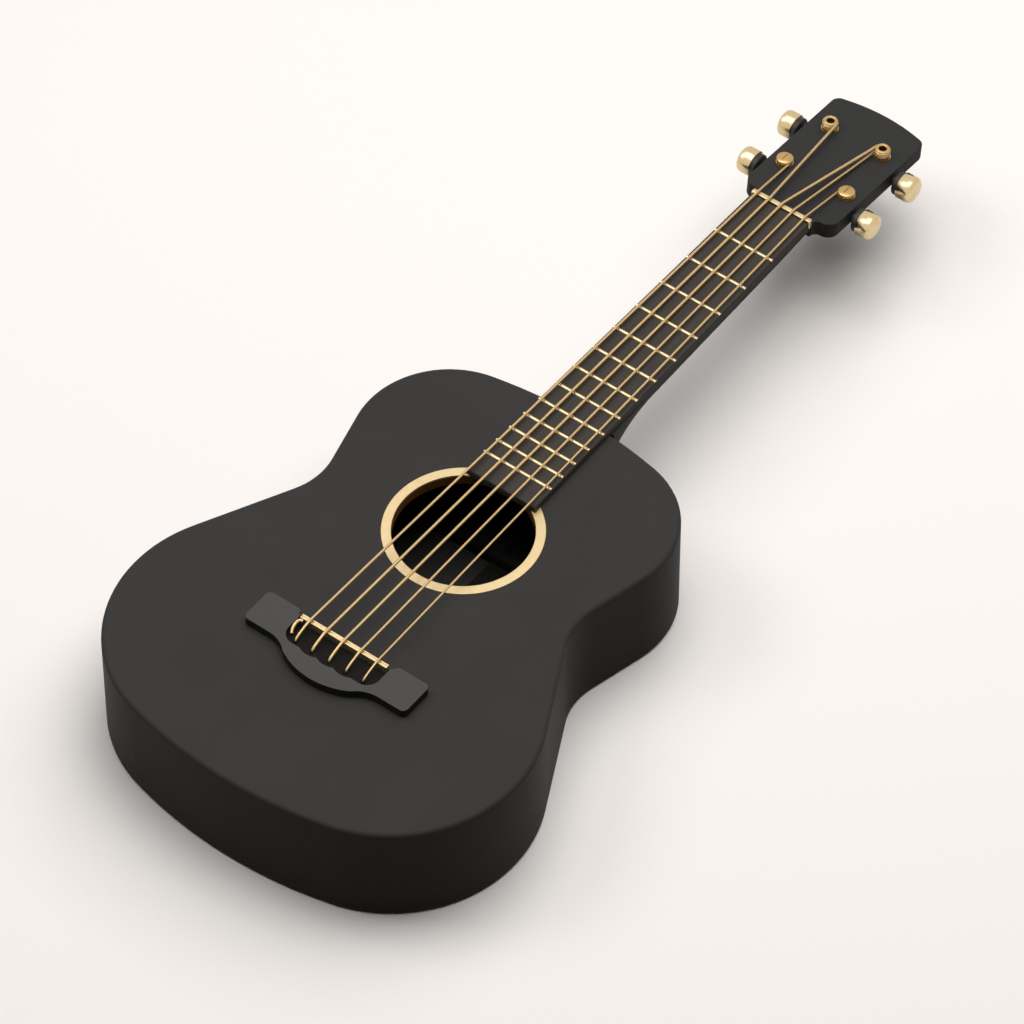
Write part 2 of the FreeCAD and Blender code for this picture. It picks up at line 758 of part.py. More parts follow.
def make_frets():
    """Crowned wires with their tangs, one solid each."""
    wires = []
    board_top = top_z + s.board_thick
    for index, y in enumerate(fret_places()):
        half = board_half(y) - s.fret_inset
        w = s.fret_width / 2
        tang = s.tang_width / 2
        body = doc.addObject("PartDesign::Body", "fret_%d" % (index + 1))
        points = [(tang, 0), (w, 0), (0, s.fret_height, -w, 0), (-tang, 0),
                  (-tang, -s.tang_depth), (tang, -s.tang_depth), (tang, 0)]
        sketch = sketch_on(body, "YZ_Plane", path(points))
        pad = body.newObject("PartDesign::Pad", "fret_pad_%d" % (index + 1))
        pad.Profile = sketch
        pad.Length = 2 * half
        pad.Midplane = True
        body.Placement = Placement(vec(0, y, board_top), Rotation())
        wires.append(body)
    keep(group("fret_set", wires), "frets")


def make_nut():
    bar = box("nut_bar", ("-#neck_half_nut# - #nut_side#", "#scale_length#", "#body_depth#"),
              ("2 * (#neck_half_nut# + #nut_side#)", "#nut_length#", "#nut_height#"))
    keep(crowned("nut", bar, top_z + s.nut_height, s.nut_round), "nut")


def neck_section(y, half, depth):
    """Closed half-oval section below the neck's flat top."""
    pull = 0.5523
    side = 1.2
    top_left = vec(-half, y, top_z)
    top_right = vec(half, y, top_z)
    low_left = vec(-half, y, top_z - side)
    low_right = vec(half, y, top_z - side)
    bottom = vec(0, y, top_z - depth)
    curves = []
    for start in (low_right, low_left):
        curve = Part.BezierCurve()
        first = vec(start.x, y, start.z - (depth - side) * pull)
        second = vec(start.x * pull, y, bottom.z)
        curve.setPoles([start, first, second, bottom])
        curves.append(curve.toShape())
    left_side = Part.makeLine(low_left, top_left)
    right_side = Part.makeLine(top_right, low_right)
    return Part.Wire(Part.__sortEdges__([right_side, curves[0], curves[1], left_side,
                                         Part.makeLine(top_left, top_right)]))


def heel_sections():
    """Sections of the flaring heel, from the shaft into the body."""
    start = shoulder_y + s.heel_length
    inside = shoulder_y - s.heel_root
    sections = []
    steps = 7
    for index in range(steps):
        share = index / (steps - 1)
        y = start + (inside - start) * share
        flare = share ** 2.2
        half = board_half(y) + s.heel_spread * flare
        depth = s.neck_depth_heel + (s.heel_depth - s.neck_depth_heel) * flare
        sections.append(neck_section(y, half, depth))
    return sections


def head_outline():
    """Headstock outline in its own plane, x across and y away from the nut."""
    neck = s.neck_half_nut
    half = s.head_half
    hollow = s.shoulder_hollow
    bulge = half - neck - hollow
    d = math.sqrt(0.5)
    r = s.head_corner
    q = r * (1 - d)
    length = s.head_length
    right = [(neck, 0), (neck + hollow * (1 - d), hollow * d, neck + hollow, hollow),
             (neck + hollow + bulge * d, hollow + bulge * (1 - d), half, hollow + bulge),
             (half, length - r), (half - q, length - q + 0.4, half - r, length + 0.8)]
    left = turned_round(mirrored(right))
    crown = (0, length + s.head_bow) + tuple(left[0][-2:])
    return path(right + [crown] + left[1:] + [right[0]])


def make_neck():
    start = shoulder_y + s.heel_length
    taper = nut_y - s.neck_taper
    shaft = Part.makeLoft([neck_section(start, board_half(start), s.neck_depth_heel),
                           neck_section(taper, board_half(taper), s.neck_depth_nut),
                           neck_section(head_y, s.neck_half_nut, s.head_thick)], True, True)
    heel = Part.makeLoft(heel_sections(), True, False)
    face = Part.Face(Part.Wire([e.toShape() for e in head_outline()]))
    face.translate(vec(0, 0, -s.headplate_thick - s.head_thick))
    slab = face.extrude(vec(0, 0, s.head_thick))
    low = -s.headplate_thick - s.head_thick
    rim = [e for e in slab.Edges if abs(e.BoundBox.ZMin - low) < 1e-6
           and abs(e.BoundBox.ZMax - low) < 1e-6 and e.BoundBox.YMax > 1]
    slab = slab.makeFillet(s.head_round, rim)
    slab.Placement = head_frame
    wood = shaft.fuse([heel, slab]).removeSplitter()
    outline = Part.Face(Part.Wire([e.toShape() for e in whole_outline(0)]))
    wood = wood.cut(outline.extrude(vec(0, 0, top_z + 1)))
    blank = feature("neck_blank", wood)
    holes = bolt_rods("neck", "#bolt_radius#")
    channel_start = shoulder_y + s.bolt_reach + s.rod_wall
    rod_length = nut_y - s.rod_margin - channel_start
    along = Rotation(vec(1, 0, 0), -90)
    rod_z = top_z - s.rod_radius - s.rod_cover
    channel = rod("rod_channel", Placement(vec(0, channel_start, rod_z), along),
                  "#rod_radius#", "%r" % rod_length)
    above = placed_box("rod_slot", Placement(vec(-s.rod_radius, channel_start, rod_z), Rotation()),
                       ("2 * #rod_radius#", "%r" % rod_length, "#rod_radius# + #rod_cover#"))
    tools = holes + [channel, above] + tuner_spaces()
    keep(cut("neck", blank, tools), "neck")
    keep(rod("truss_rod", Placement(vec(0, channel_start, rod_z), along),
             "#rod_radius#", "%r" % rod_length), "truss_rod")


def make_headplate():
    low = Placement(vec(0, 0, -s.headplate_thick), Rotation())
    body = plate("headplate", head_outline(), "#headplate_thick#", None, (),
                 head_frame.multiply(low))
    holes = [post_rod("plate", tuner, "#bushing_radius#", -s.headplate_thick - 1,
                      s.headplate_thick + 2) for tuner in TUNERS]
    keep(cut("headplate", body, holes), "headplate")


def make_bolts():
    bolts = []
    start = neck_block_face()
    for index, shank in enumerate(bolt_rods("steel", "#bolt_radius#")):
        z = top_z - s.bolt_first - index * s.bolt_step
        place = Placement(vec(0, start, z), Rotation(vec(1, 0, 0), 90))
        head = rod("bolt_head_%d" % (index + 1), place, "#bolt_head_radius#",
                   "#bolt_head_length#")
        bolt = doc.addObject("Part::Fuse", "neck_bolt_%d" % (index + 1))
        bolt.Base = shank
        bolt.Tool = head
        bolts.append(bolt)
    keep(group("neck_bolt_set", bolts), "neck_bolts")


# ---------------------------------------------------------------- tuners
class Tuner:
    """One machine head: where its post stands and which side its knob is on."""

    def __init__(self, name, side, half, along, tall):
        self.name = name
        self.side = side
        self.x = side * half
        self.tall = tall
        self.centre = s.wheel_radius + s.mesh_gap + s.worm_radius
        self.post_y = along + self.centre / 2
        self.knob_y = along - self.centre / 2

    def upright(self, height):
        """Placement on the post's axis at a height above the face."""
        return head_frame.multiply(Placement(vec(self.x, self.post_y, height), Rotation()))

    def sideways(self, x):
        """Placement on the knob's axis, its Z pointing out of the headstock's side."""
        turn = Rotation(vec(0, 1, 0), 90 * self.side)
        spot = vec(self.side * x, self.knob_y, -s.shaft_drop)
        return head_frame.multiply(Placement(spot, turn))


TUNERS = (
    Tuner("upper_left", -1, s.upper_post_half, s.upper_post_along, True),
    Tuner("upper_right", 1, s.upper_post_half, s.upper_post_along, True),
    Tuner("lower_left", -1, s.lower_post_half, s.lower_post_along, False),
    Tuner("lower_right", 1, s.lower_post_half, s.lower_post_along, False),
)
head_back = -s.headplate_thick - s.head_thick
hollow_radius = s.wheel_radius + s.end_gap
hollow_half = s.wheel_thick / 2 + s.end_gap
worm_hollow = s.worm_radius + s.end_gap
housing_top = -s.shaft_drop + max(hollow_half, worm_hollow) + s.housing_wall
cover_top = head_back + s.cover_thick


def post_rod(name, tuner, radius, low, length):
    """Cylinder on a post's axis."""
    return rod("%s_%s" % (name, tuner.name), tuner.upright(low), radius, "%r" % length)


def housing_box(name, tuner, low, high):
    """Box around one pair of gears between two heights."""
    y_low = tuner.knob_y - worm_hollow - s.housing_wall
    y_high = tuner.post_y + hollow_radius + s.housing_wall
    spot = Placement(vec(tuner.x - s.housing_width / 2, y_low, low), Rotation())
    return placed_box("%s_%s" % (name, tuner.name), head_frame.multiply(spot),
                      ("#housing_width#", "%r" % (y_high - y_low), "%r" % (high - low)))


def knob_rod(name, tuner, radius, start, length):
    """Cylinder on a knob's axis."""
    return rod("%s_%s" % (name, tuner.name), tuner.sideways(start), radius, "%r" % length)


def tuner_spaces():
    """What the tuners take out of the headstock's wood."""
    spaces = []
    for tuner in TUNERS:
        spaces.append(housing_box("gear_pocket", tuner, head_back - 1, housing_top))
        spaces.append(post_rod("post_bore", tuner, "#bushing_radius#", housing_top - 1,
                               1 - housing_top))
        start = abs(tuner.x)
        spaces.append(knob_rod("knob_bore", tuner, "#worm_shaft_radius# + 0.4", start,
                               s.head_half - start + 5))
    return spaces


def worm_shaft_points():
    """Grooved worm on its shaft, about the post's place across the headstock."""
    half = s.worm_length / 2
    root = s.worm_shaft_radius
    tip = s.worm_radius
    points = [(0, -half - 1.6), (root, -half - 1.6), (root, -half)]
    turns = 6
    pitch = s.worm_length / turns
    for index in range(turns):
        low = -half + index * pitch
        points += [(root, low), (tip, low + pitch * 0.3), (tip, low + pitch * 0.6),
                   (root, low + pitch * 0.9)]
    return points


def dome(radius, base, rise):
    """Entry for a shallow dome from a rim up to the axis."""
    ball = (radius ** 2 + rise ** 2) / (2 * rise)
    middle = math.sqrt(ball ** 2 - radius ** 2 / 4) - (ball - rise)
    return (radius / 2, base + middle, 0, base + rise)


def make_knob(tuner):
    """Worm shaft, black base and gold cap on one axis."""
    reach = abs(tuner.x)
    collar = s.head_half - reach + s.end_gap
    cap_start = collar + s.collar_length + s.base_length
    depth = s.knob_length * 0.6
    shaft = worm_shaft_points() + [(s.worm_shaft_radius, cap_start + depth),
                                   (0, cap_start + depth)]
    name = "worm_shaft_" + tuner.name
    keep(turned(name, shaft, tuner.sideways(reach)), name)
    r = s.worm_shaft_radius
    base = [(r, collar), (s.collar_radius, collar), (s.collar_radius, collar + s.collar_length),
            (s.base_radius - 0.6, collar + s.collar_length),
            (s.base_radius, collar + s.collar_length + 0.6), (s.base_radius, cap_start),
            (r, cap_start)]
    name = "knob_base_" + tuner.name
    keep(turned(name, base, tuner.sideways(reach)), name)
    end = cap_start + s.knob_length
    n = s.knob_round
    q = n * (1 - math.sqrt(0.5))
    crown = 0.6
    cap = [(r, cap_start), (s.knob_radius - 0.4, cap_start), (s.knob_radius, cap_start + 0.4),
           (s.knob_radius, end - n), (s.knob_radius - q, end - q, s.knob_radius - n, end),
           dome(s.knob_radius - n, end, crown), (0, cap_start + depth),
           (r, cap_start + depth)]
    name = "knob_cap_" + tuner.name
    keep(turned(name, cap, tuner.sideways(reach)), name)


def make_wheel(tuner):
    """Worm wheel with straight teeth, bored for the post."""
    root = s.wheel_radius - 0.7
    points = []
    step = 2 * math.pi / s.wheel_teeth
    for index in range(s.wheel_teeth):
        for share, radius in ((-0.30, root), (-0.16, s.wheel_radius), (0.16, s.wheel_radius),
                              (0.30, root)):
            angle = (index + share) * step
            points.append((radius * math.cos(angle), radius * math.sin(angle)))
    bore = []
    round_hole(bore, 0, 0, s.worm_shaft_radius)
    low = tuner.upright(-s.shaft_drop - s.wheel_thick / 2)
    name = "worm_wheel_" + tuner.name
    keep(plate(name, path(points + [points[0]]), "#wheel_thick#", None, bore, low), name)


def winding_turns(tuner):
    """Turns of string on a post: three on a tall one, one on a low one."""
    return 3 if tuner.tall else 1


winding_radius = s.spool_radius + s.string_radius + s.string_gap
winding_pitch = 2 * s.string_radius + s.string_gap
spool_low = s.flange_thick + s.end_gap
first_turn = spool_low + 0.3 + s.string_radius


def make_post(tuner):
    """Post with its spool; tall ones are open on top, low ones carry a slotted disc."""
    journal = s.worm_shaft_radius
    step = -s.shaft_drop + s.wheel_thick / 2
    foot = cover_top + s.end_gap
    stack = first_turn + (winding_turns(tuner) - 1) * winding_pitch + s.string_radius
    points = [(0, foot), (journal, foot), (journal, step), (s.post_radius, step),
              (s.post_radius, spool_low), (s.spool_radius, spool_low)]
    if tuner.tall:
        top = stack + 0.6
        mouth = s.spool_radius * 0.48
        points += [(s.spool_radius, top - 0.5), (s.spool_radius - 0.5, top), (mouth + 0.3, top),
                   (mouth, top - 0.3), (mouth, top - 3.0), (0, top - 3.0)]
    else:
        low = stack + s.string_gap
        rim = low + 0.9
        disc = s.cap_disc_radius
        points += [(s.spool_radius, low), (disc, low), (disc, rim),
                   dome(disc, rim, 0.9)]
    name = "tuner_post_" + tuner.name
    body = turned(name, points, tuner.upright(0))
    if tuner.tall:
        return keep(body, name)
    slot_size = (2 * s.cap_disc_radius, 0.8)
    spot = Placement(vec(tuner.x - slot_size[0] / 2, tuner.post_y - slot_size[1] / 2, rim + 0.2),
                     Rotation())
    slot = placed_box("disc_slot_" + tuner.name, head_frame.multiply(spot),
                      ("%r" % slot_size[0], "%r" % slot_size[1], "2"))
    return keep(cut(name, body, [slot]), name)


def make_winding(tuner):
    """Turns of string around the spool."""
    turns = []
    for index in range(winding_turns(tuner)):
        ring = doc.addObject("Part::Torus", "turn_%s_%d" % (tuner.name, index + 1))
        ring.Radius1 = winding_radius
        bind(ring, Radius2="#string_radius#")
        ring.Placement = tuner.upright(first_turn + index * winding_pitch)
        turns.append(ring)
    keep(group("winding_" + tuner.name, turns), "string_winding_" + tuner.name)


def make_housings():
    """Gear housings, their covers and screws, and the post bushings."""
    housings = []
    covers = []
    screws = []
    bushings = []
    for tuner in TUNERS:
        block = housing_box("housing", tuner, cover_top, housing_top)
        wheel_low = cover_top - 1
        wheel_top = -s.shaft_drop + hollow_half
        wheel_room = post_rod("wheel_room", tuner, "%r" % hollow_radius, wheel_low,
                              wheel_top - wheel_low)
        start = abs(tuner.x) - s.worm_length / 2 - s.end_gap
        worm_room = knob_rod("worm_room", tuner, "%r" % worm_hollow, start,
                             s.worm_length + 2 * s.end_gap)
        journal = knob_rod("journal", tuner, "#worm_shaft_radius# + #running_gap#",
                           abs(tuner.x) - s.housing_width / 2 + 1.4, s.housing_width)
        post = post_rod("post_hole", tuner, "#post_radius# + #running_gap#", wheel_low,
                        housing_top - wheel_low + 1)
        housings.append(cut("housing_" + tuner.name, block, [wheel_room, worm_room, journal, post]))
        cover = housing_box("cover", tuner, head_back, cover_top)
        fixings = screw_set(tuner)
        sockets = screw_set(tuner, "socket")
        covers.append(cut("cover_" + tuner.name, cover, sockets))
        housings[-1] = cut("tapped_" + tuner.name, housings[-1], screw_set(tuner, "tap"))
        screws += fixings
        tube = [(s.post_radius + s.running_gap, housing_top), (s.bushing_radius, housing_top),
                (s.bushing_radius, 0), (s.bushing_flange, 0),
                (s.bushing_flange, s.flange_thick), (s.post_radius + s.running_gap,
                                                     s.flange_thick)]
        bushings.append(turned("bushing_" + tuner.name, tube, tuner.upright(0)))
    keep(group("housing_set", housings), "tuner_housings")
    keep(group("cover_set", covers), "tuner_covers")
    keep(group("screw_set", screws), "tuner_screws")
    keep(group("bushing_set", bushings), "tuner_bushings")


def screw_set(tuner, purpose="screw"):
    """Two countersunk screws at opposite corners of the cover."""
    screws = []
    inset = s.screw_head_radius + 0.35
    y_low = tuner.knob_y - worm_hollow - s.housing_wall
    y_high = tuner.post_y + hollow_radius + s.housing_wall
    corners = ((-1, y_high - inset), (1, y_high - inset))
    head = s.screw_head_radius
    shank = s.screw_radius
    length = s.cover_thick + 2.0
    for index, (side, y) in enumerate(corners):
        x = tuner.x + side * (s.housing_width / 2 - inset)
        spot = Placement(vec(x, y, head_back), Rotation())
        points = [(0, 0), (head, 0), (shank, head - shank), (shank, length), (0, length)]
        screws.append(turned("%s_%s_%d" % (purpose, tuner.name, index + 1), points,
                             head_frame.multiply(spot)))
    return screws


# ---------------------------------------------------------------- strings
string_top = s.saddle_proud + s.string_gap + s.string_radius
nut_top = s.nut_height + s.string_gap + s.string_radius


def tube(points, radius, bends):
    """Round tube along straight runs joined by tangent arcs."""
    edges = []
    here = points[0]
    for index in range(1, len(points) - 1):
        corner = points[index]
        into = (corner - points[index - 1]).normalize()
        out = (points[index + 1] - corner).normalize()
        turn = into.getAngle(out)
        if turn < 1e-4:
            continue
        back = bends * math.tan(turn / 2)
        start = corner - into * back
        end = corner + out * back
        inward = (out - into).normalize()
        middle = corner + inward * (bends / math.cos(turn / 2) - bends)
        edges.append(Part.LineSegment(here, start).toShape())
        edges.append(Part.Arc(start, middle, end).toShape())
        here = end
    edges.append(Part.LineSegment(here, points[-1]).toShape())
    wire = Part.Wire(edges)
    way = (points[1] - points[0]).normalize()
    ring = Part.Wire(Part.makeCircle(radius, points[0], way))
    return wire.makePipeShell([ring], True, False)


def post_end(tuner, start, turn):
    """Where a string stops just short of the winding it runs into, on the inner side."""
    centre = tuner.upright(first_turn + turn * winding_pitch).Base
    flat = head_frame.inverse().multVec(start)
    hub = head_frame.inverse().multVec(centre)
    away = vec(flat.x - hub.x, flat.y - hub.y)
    reach = away.Length
    half_angle = math.acos(winding_radius / reach)
    base = math.atan2(away.y, away.x)
    touches = []
    for sign in (-1, 1):
        angle = base + sign * half_angle
        touches.append(vec(hub.x + winding_radius * math.cos(angle),
                           hub.y + winding_radius * math.sin(angle), hub.z))
    inner = min(touches, key=lambda point: abs(point.x))
    clear = winding_radius + 2 * s.string_radius + 0.3
    back = math.sqrt(clear ** 2 - winding_radius ** 2)
    contact = head_frame.multVec(inner)
    return contact + (start - contact).normalize() * back


STRING_POSTS = ((2, 0), (0, 2), (1, 2), (1, 0), (3, 0))


def make_strings():
    """Each string rises from its ball end, crosses the saddle and nut and runs to a post."""
    balls = []
    saddle_xs = string_xs(s.saddle_spacing)
    nut_xs = string_xs(s.nut_spacing)
    plate_low = top_z - s.top_thick - s.plate_thick
    for index, (tuner_index, turn) in enumerate(STRING_POSTS):
        x = saddle_xs[index]
        foot = vec(x, -s.string_hole_back, plate_low - s.ball_length / 2)
        rise = vec(x, -s.string_hole_back, top_z + s.bridge_floor + 1.2)
        over = vec(x, s.crown_inset, top_z + string_top)
        nut = vec(nut_xs[index], head_y - s.crown_inset, top_z + nut_top)
        end = post_end(TUNERS[tuner_index], nut, turn)
        solid = tube([foot, rise, over, nut, end], s.string_radius, 1.6)
        ball_place = Placement(vec(x, -s.string_hole_back, plate_low - s.ball_length), Rotation())
        ball = rod("ball_%d" % (index + 1), ball_place, "#ball_radius#", "#ball_length#")
        bore = rod("ball_bore_%d" % (index + 1),
                   Placement(foot, Rotation()), "#string_radius#", "#ball_length#")
        balls.append(cut("ball_end_%d" % (index + 1), ball, [bore]))
        keep(feature("string_%d" % (index + 1), solid), "string_%d" % (index + 1))
    keep(group("ball_set", balls), "string_ball_ends")


def make_tail():
    """Loose tail of the bass string, from the end of the saddle into the well."""
    left = -s.saddle_half
    z = top_z + s.bridge_floor
    height = z + 4.0
    points = [vec(left + 3.0, -0.9, height), vec(left + 1.0, -1.6, height),
              vec(left + 0.2, -6.0, height - 0.6), vec(left + 2.6, -10.4, z + 1.2)]
    shape = tube(points, s.string_radius, 1.2)
    keep(feature("string_tail", shape), "string_tail")


def check_and_write():
    """Refuses a failed object, then writes one file per sub-part."""
    doc.recompute()
    for obj in doc.Objects:
        if "Invalid" in obj.State or "Error" in obj.State:
            raise RuntimeError("%s failed: %s" % (obj.Name, obj.State))
    os.makedirs("parts", exist_ok=True)
    for obj in nodes:
        shape = obj.Shape
        if shape.isNull() or not shape.isValid() or not shape.Solids:
            raise RuntimeError(obj.Label + " has no valid solid")
        shape.exportStep(os.path.join("parts", obj.Label + ".step"))
        print("%-28s %2d solids %12.2f mm3" % (obj.Label, len(shape.Solids), shape.Volume))


make_soundboard()
make_back()
make_ribs()
make_blocks()
make_linings()
make_braces()
make_bridge_plate()
make_sound_hole()
make_bridge()
make_fretboard()
make_frets()
make_nut()
make_neck()
make_headplate()
make_bolts()
make_housings()
for each in TUNERS:
    make_knob(each)
    make_wheel(each)
    make_post(each)
    make_winding(each)
make_strings()
make_tail()
check_and_write()
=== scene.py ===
"""Small matte black acoustic guitar with pale gold fittings, lying on its back.

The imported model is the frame: its body, neck and inside keep their shape and get
their finishes here. The fittings that catch the light, which are the ring, bridge,
saddle, nut, frets, strings, posts and knobs, are modelled again with their real
edges. Lengths are metres, except where a name ends in mm.
"""
import json
import logging
import math
from contextlib import contextmanager
from dataclasses import dataclass, field
from enum import Enum
from typing import Callable, Iterator, Sequence

import bpy
from mathutils import Matrix, Vector

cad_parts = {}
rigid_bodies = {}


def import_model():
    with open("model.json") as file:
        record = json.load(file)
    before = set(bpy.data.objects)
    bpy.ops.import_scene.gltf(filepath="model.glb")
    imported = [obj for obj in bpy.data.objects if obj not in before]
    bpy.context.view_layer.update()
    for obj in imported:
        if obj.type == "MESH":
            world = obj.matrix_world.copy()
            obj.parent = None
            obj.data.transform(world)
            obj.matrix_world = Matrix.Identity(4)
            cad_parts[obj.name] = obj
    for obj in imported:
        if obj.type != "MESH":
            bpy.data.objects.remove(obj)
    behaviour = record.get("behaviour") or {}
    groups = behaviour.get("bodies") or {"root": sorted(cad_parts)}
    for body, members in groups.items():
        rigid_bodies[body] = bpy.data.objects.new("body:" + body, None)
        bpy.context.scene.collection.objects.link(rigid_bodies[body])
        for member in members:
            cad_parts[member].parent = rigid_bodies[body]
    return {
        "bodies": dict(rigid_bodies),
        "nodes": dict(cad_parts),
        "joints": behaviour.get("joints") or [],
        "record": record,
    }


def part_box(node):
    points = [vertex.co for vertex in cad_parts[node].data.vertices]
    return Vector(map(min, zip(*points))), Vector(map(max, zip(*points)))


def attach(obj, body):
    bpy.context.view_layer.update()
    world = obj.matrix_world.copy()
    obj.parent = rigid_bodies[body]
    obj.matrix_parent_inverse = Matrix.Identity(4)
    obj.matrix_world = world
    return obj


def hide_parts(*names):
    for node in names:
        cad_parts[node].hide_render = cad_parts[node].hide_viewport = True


log = logging.getLogger("guitar")
MM = 0.001
Rule = Callable[[Vector, Vector], bool]


# ------------------------------------------------------------------ modelling bench
def take(piece: bpy.types.Object) -> None:
    """Makes a piece the only selected and the active object."""
    bpy.ops.object.select_all(action="DESELECT")
    piece.select_set(True)
    bpy.context.view_layer.objects.active = piece


@contextmanager
def editing(piece: bpy.types.Object, select: str = "NONE") -> Iterator[None]:
    """Opens a piece in edit mode, with everything, nothing or the set selection picked.

    Args:
        piece: The piece to edit.
        select: ALL, NONE or KEEP.
    """
    take(piece)
    bpy.ops.object.mode_set(mode="EDIT")
    if select == "ALL":
        bpy.ops.mesh.select_all(action="SELECT")
    if select == "NONE":
        bpy.ops.mesh.select_all(action="DESELECT")
    yield
    bpy.ops.object.mode_set(mode="OBJECT")


def pick_faces(piece: bpy.types.Object, rule: Rule) -> int:
    """Selects the faces whose centre and normal satisfy a rule.

    Returns:
        How many faces were picked.
    """
    take(piece)
    bpy.ops.object.mode_set(mode="EDIT")
    bpy.ops.mesh.select_mode(type="FACE")
    bpy.ops.mesh.select_all(action="DESELECT")
    bpy.ops.object.mode_set(mode="OBJECT")
    count = 0
    for face in piece.data.polygons:
        face.select = rule(face.center, face.normal)
        count += face.select
    return count


def modify(piece: bpy.types.Object, kind: str, **settings: object) -> None:
    """Adds a modifier with its settings and applies it."""
    take(piece)
    modifier = piece.modifiers.new(kind.lower(), kind)
    for name, value in settings.items():
        setattr(modifier, name, value)
    bpy.ops.object.modifier_apply(modifier=modifier.name)


def soften(piece: bpy.types.Object, width: float, segments: int = 3,
           angle: float = 30.0) -> None:
    """Rounds the sharp edges of a piece and shades it smoothly between them.

    Args:
        piece: The piece to round.
        width: Width of the rounding.
        segments: Steps across the rounding.
        angle: Edges sharper than this, in degrees, are rounded.
    """
    modify(piece, "BEVEL", width=width, segments=segments, limit_method="ANGLE",
           angle_limit=math.radians(angle), use_clamp_overlap=True, harden_normals=False)
    take(piece)
    bpy.ops.object.shade_smooth_by_angle(angle=math.radians(40.0))
    modify(piece, "WEIGHTED_NORMAL", weight=100, keep_sharp=True)


def settle(piece: bpy.types.Object, name: str, place: Matrix | None = None) -> bpy.types.Object:
    """Moves a piece into place, puts the place into its mesh and names it."""
    if place is not None:
        piece.matrix_world = place @ piece.matrix_world
    take(piece)
    bpy.ops.object.transform_apply(location=True, rotation=True, scale=True)
    piece.name = name
    piece.data.name = name
    return piece


def turned(profile: Sequence[tuple[float, float]], sides: int = 96) -> bpy.types.Object:
    """Turned piece about Z, as on a lathe, from (radius, height) pairs.

    Args:
        profile: Pairs from one end of the piece to the other; both ends are closed.
        sides: Faces around the piece.

    Returns:
        The piece, at the origin.
    """
    radius, height = profile[0]
    bpy.ops.mesh.primitive_circle_add(vertices=sides, radius=radius, fill_type="NGON",
                                      location=(0, 0, height))
    piece = bpy.context.object
    bpy.ops.object.transform_apply(location=True)
    with editing(piece, "ALL"):
        for next_radius, next_height in profile[1:]:
            lift = {"value": (0, 0, next_height - height)}
            bpy.ops.mesh.extrude_region_move(TRANSFORM_OT_translate=lift)
            grow = next_radius / radius
            bpy.ops.transform.resize(value=(grow, grow, 1), center_override=(0, 0, next_height))
            radius, height = next_radius, next_height
        bpy.ops.mesh.select_all(action="SELECT")
        bpy.ops.mesh.normals_make_consistent(inside=False)
    return piece


def block(low: Vector, high: Vector) -> bpy.types.Object:
    """Plain block between two corners, to be shaped further."""
    middle = (low + high) / 2
    bpy.ops.mesh.primitive_cube_add(size=1, location=middle, scale=high - low)
    piece = bpy.context.object
    bpy.ops.object.transform_apply(location=True, rotation=True, scale=True)
    return piece


def wire(points: Sequence[Vector], radius: float, steps: int = 8) -> bpy.types.Object:
    """Round wire along a smooth curve that is pulled towards each point.

    Args:
        points: Five or more control points.
        radius: Half the wire's thickness.
        steps: Pieces of wire between two points.
    """
    bpy.ops.object.select_all(action="DESELECT")
    bpy.ops.curve.primitive_nurbs_path_add(location=(0, 0, 0))
    curve = bpy.context.object
    spline = curve.data.splines[0]
    spline.points.add(len(points) - len(spline.points))
    for control, point in zip(spline.points, points):
        control.co = (*point, 1.0)
    spline.order_u = 3
    spline.use_endpoint_u = True
    curve.data.resolution_u = steps
    curve.data.bevel_depth = radius
    curve.data.bevel_resolution = 4
    curve.data.use_fill_caps = True
    take(curve)
    bpy.ops.object.convert(target="MESH")
    piece = bpy.context.object
    bpy.ops.object.shade_smooth()
    return piece


def copy_of(node: str) -> bpy.types.Object:
    """Merged copy of a CAD node, ready for its edges to be rounded."""
    source = Model.nodes[node]
    piece = source.copy()
    piece.data = source.data.copy()
    piece.parent = None
    for key in [key for key in piece.keys() if key.startswith("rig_")]:
        del piece[key]
    piece.data.materials.clear()
    bpy.context.scene.collection.objects.link(piece)
    with editing(piece, "ALL"):
        bpy.ops.mesh.customdata_custom_splitnormals_clear()
        bpy.ops.mesh.remove_doubles(threshold=2e-6)
        bpy.ops.mesh.dissolve_limited(angle_limit=math.radians(0.6))
    return piece


def join(pieces: Sequence[bpy.types.Object]) -> bpy.types.Object:
    """Joins pieces into the first."""
    take(pieces[0])
    for piece in pieces[1:]:
        piece.select_set(True)
    bpy.ops.object.join()
    return bpy.context.object


# ------------------------------------------------------------------ finishes
def linear(hex_colour: str) -> tuple[float, float, float, float]:
    """Turns an sRGB hex colour into a linear one with full alpha."""
    channels = []
    for start in (1, 3, 5):
        value = int(hex_colour[start:start + 2], 16) / 255
        channels.append(value / 12.92 if value <= 0.04045 else ((value + 0.055) / 1.055) ** 2.4)
    return (*channels, 1.0)


def add_node(tree: bpy.types.NodeTree, kind: str, inputs: dict | None = None,
             **settings: object) -> bpy.types.Node:
    """Adds a node with its settings, and values or links on its inputs.

    Args:
        tree: The material's or world's node tree.
        kind: Blender's name for the node.
        inputs: Socket name or number to a value, or to the output that feeds it.
        settings: The node's own settings.

    Returns:
        The new node.
    """
    node = tree.nodes.new(kind)
    for name, value in settings.items():
        setattr(node, name, value)
    for name, value in (inputs or {}).items():
        if isinstance(value, bpy.types.NodeSocket):
            tree.links.new(value, node.inputs[name])
        else:
            node.inputs[name].default_value = value
    return node


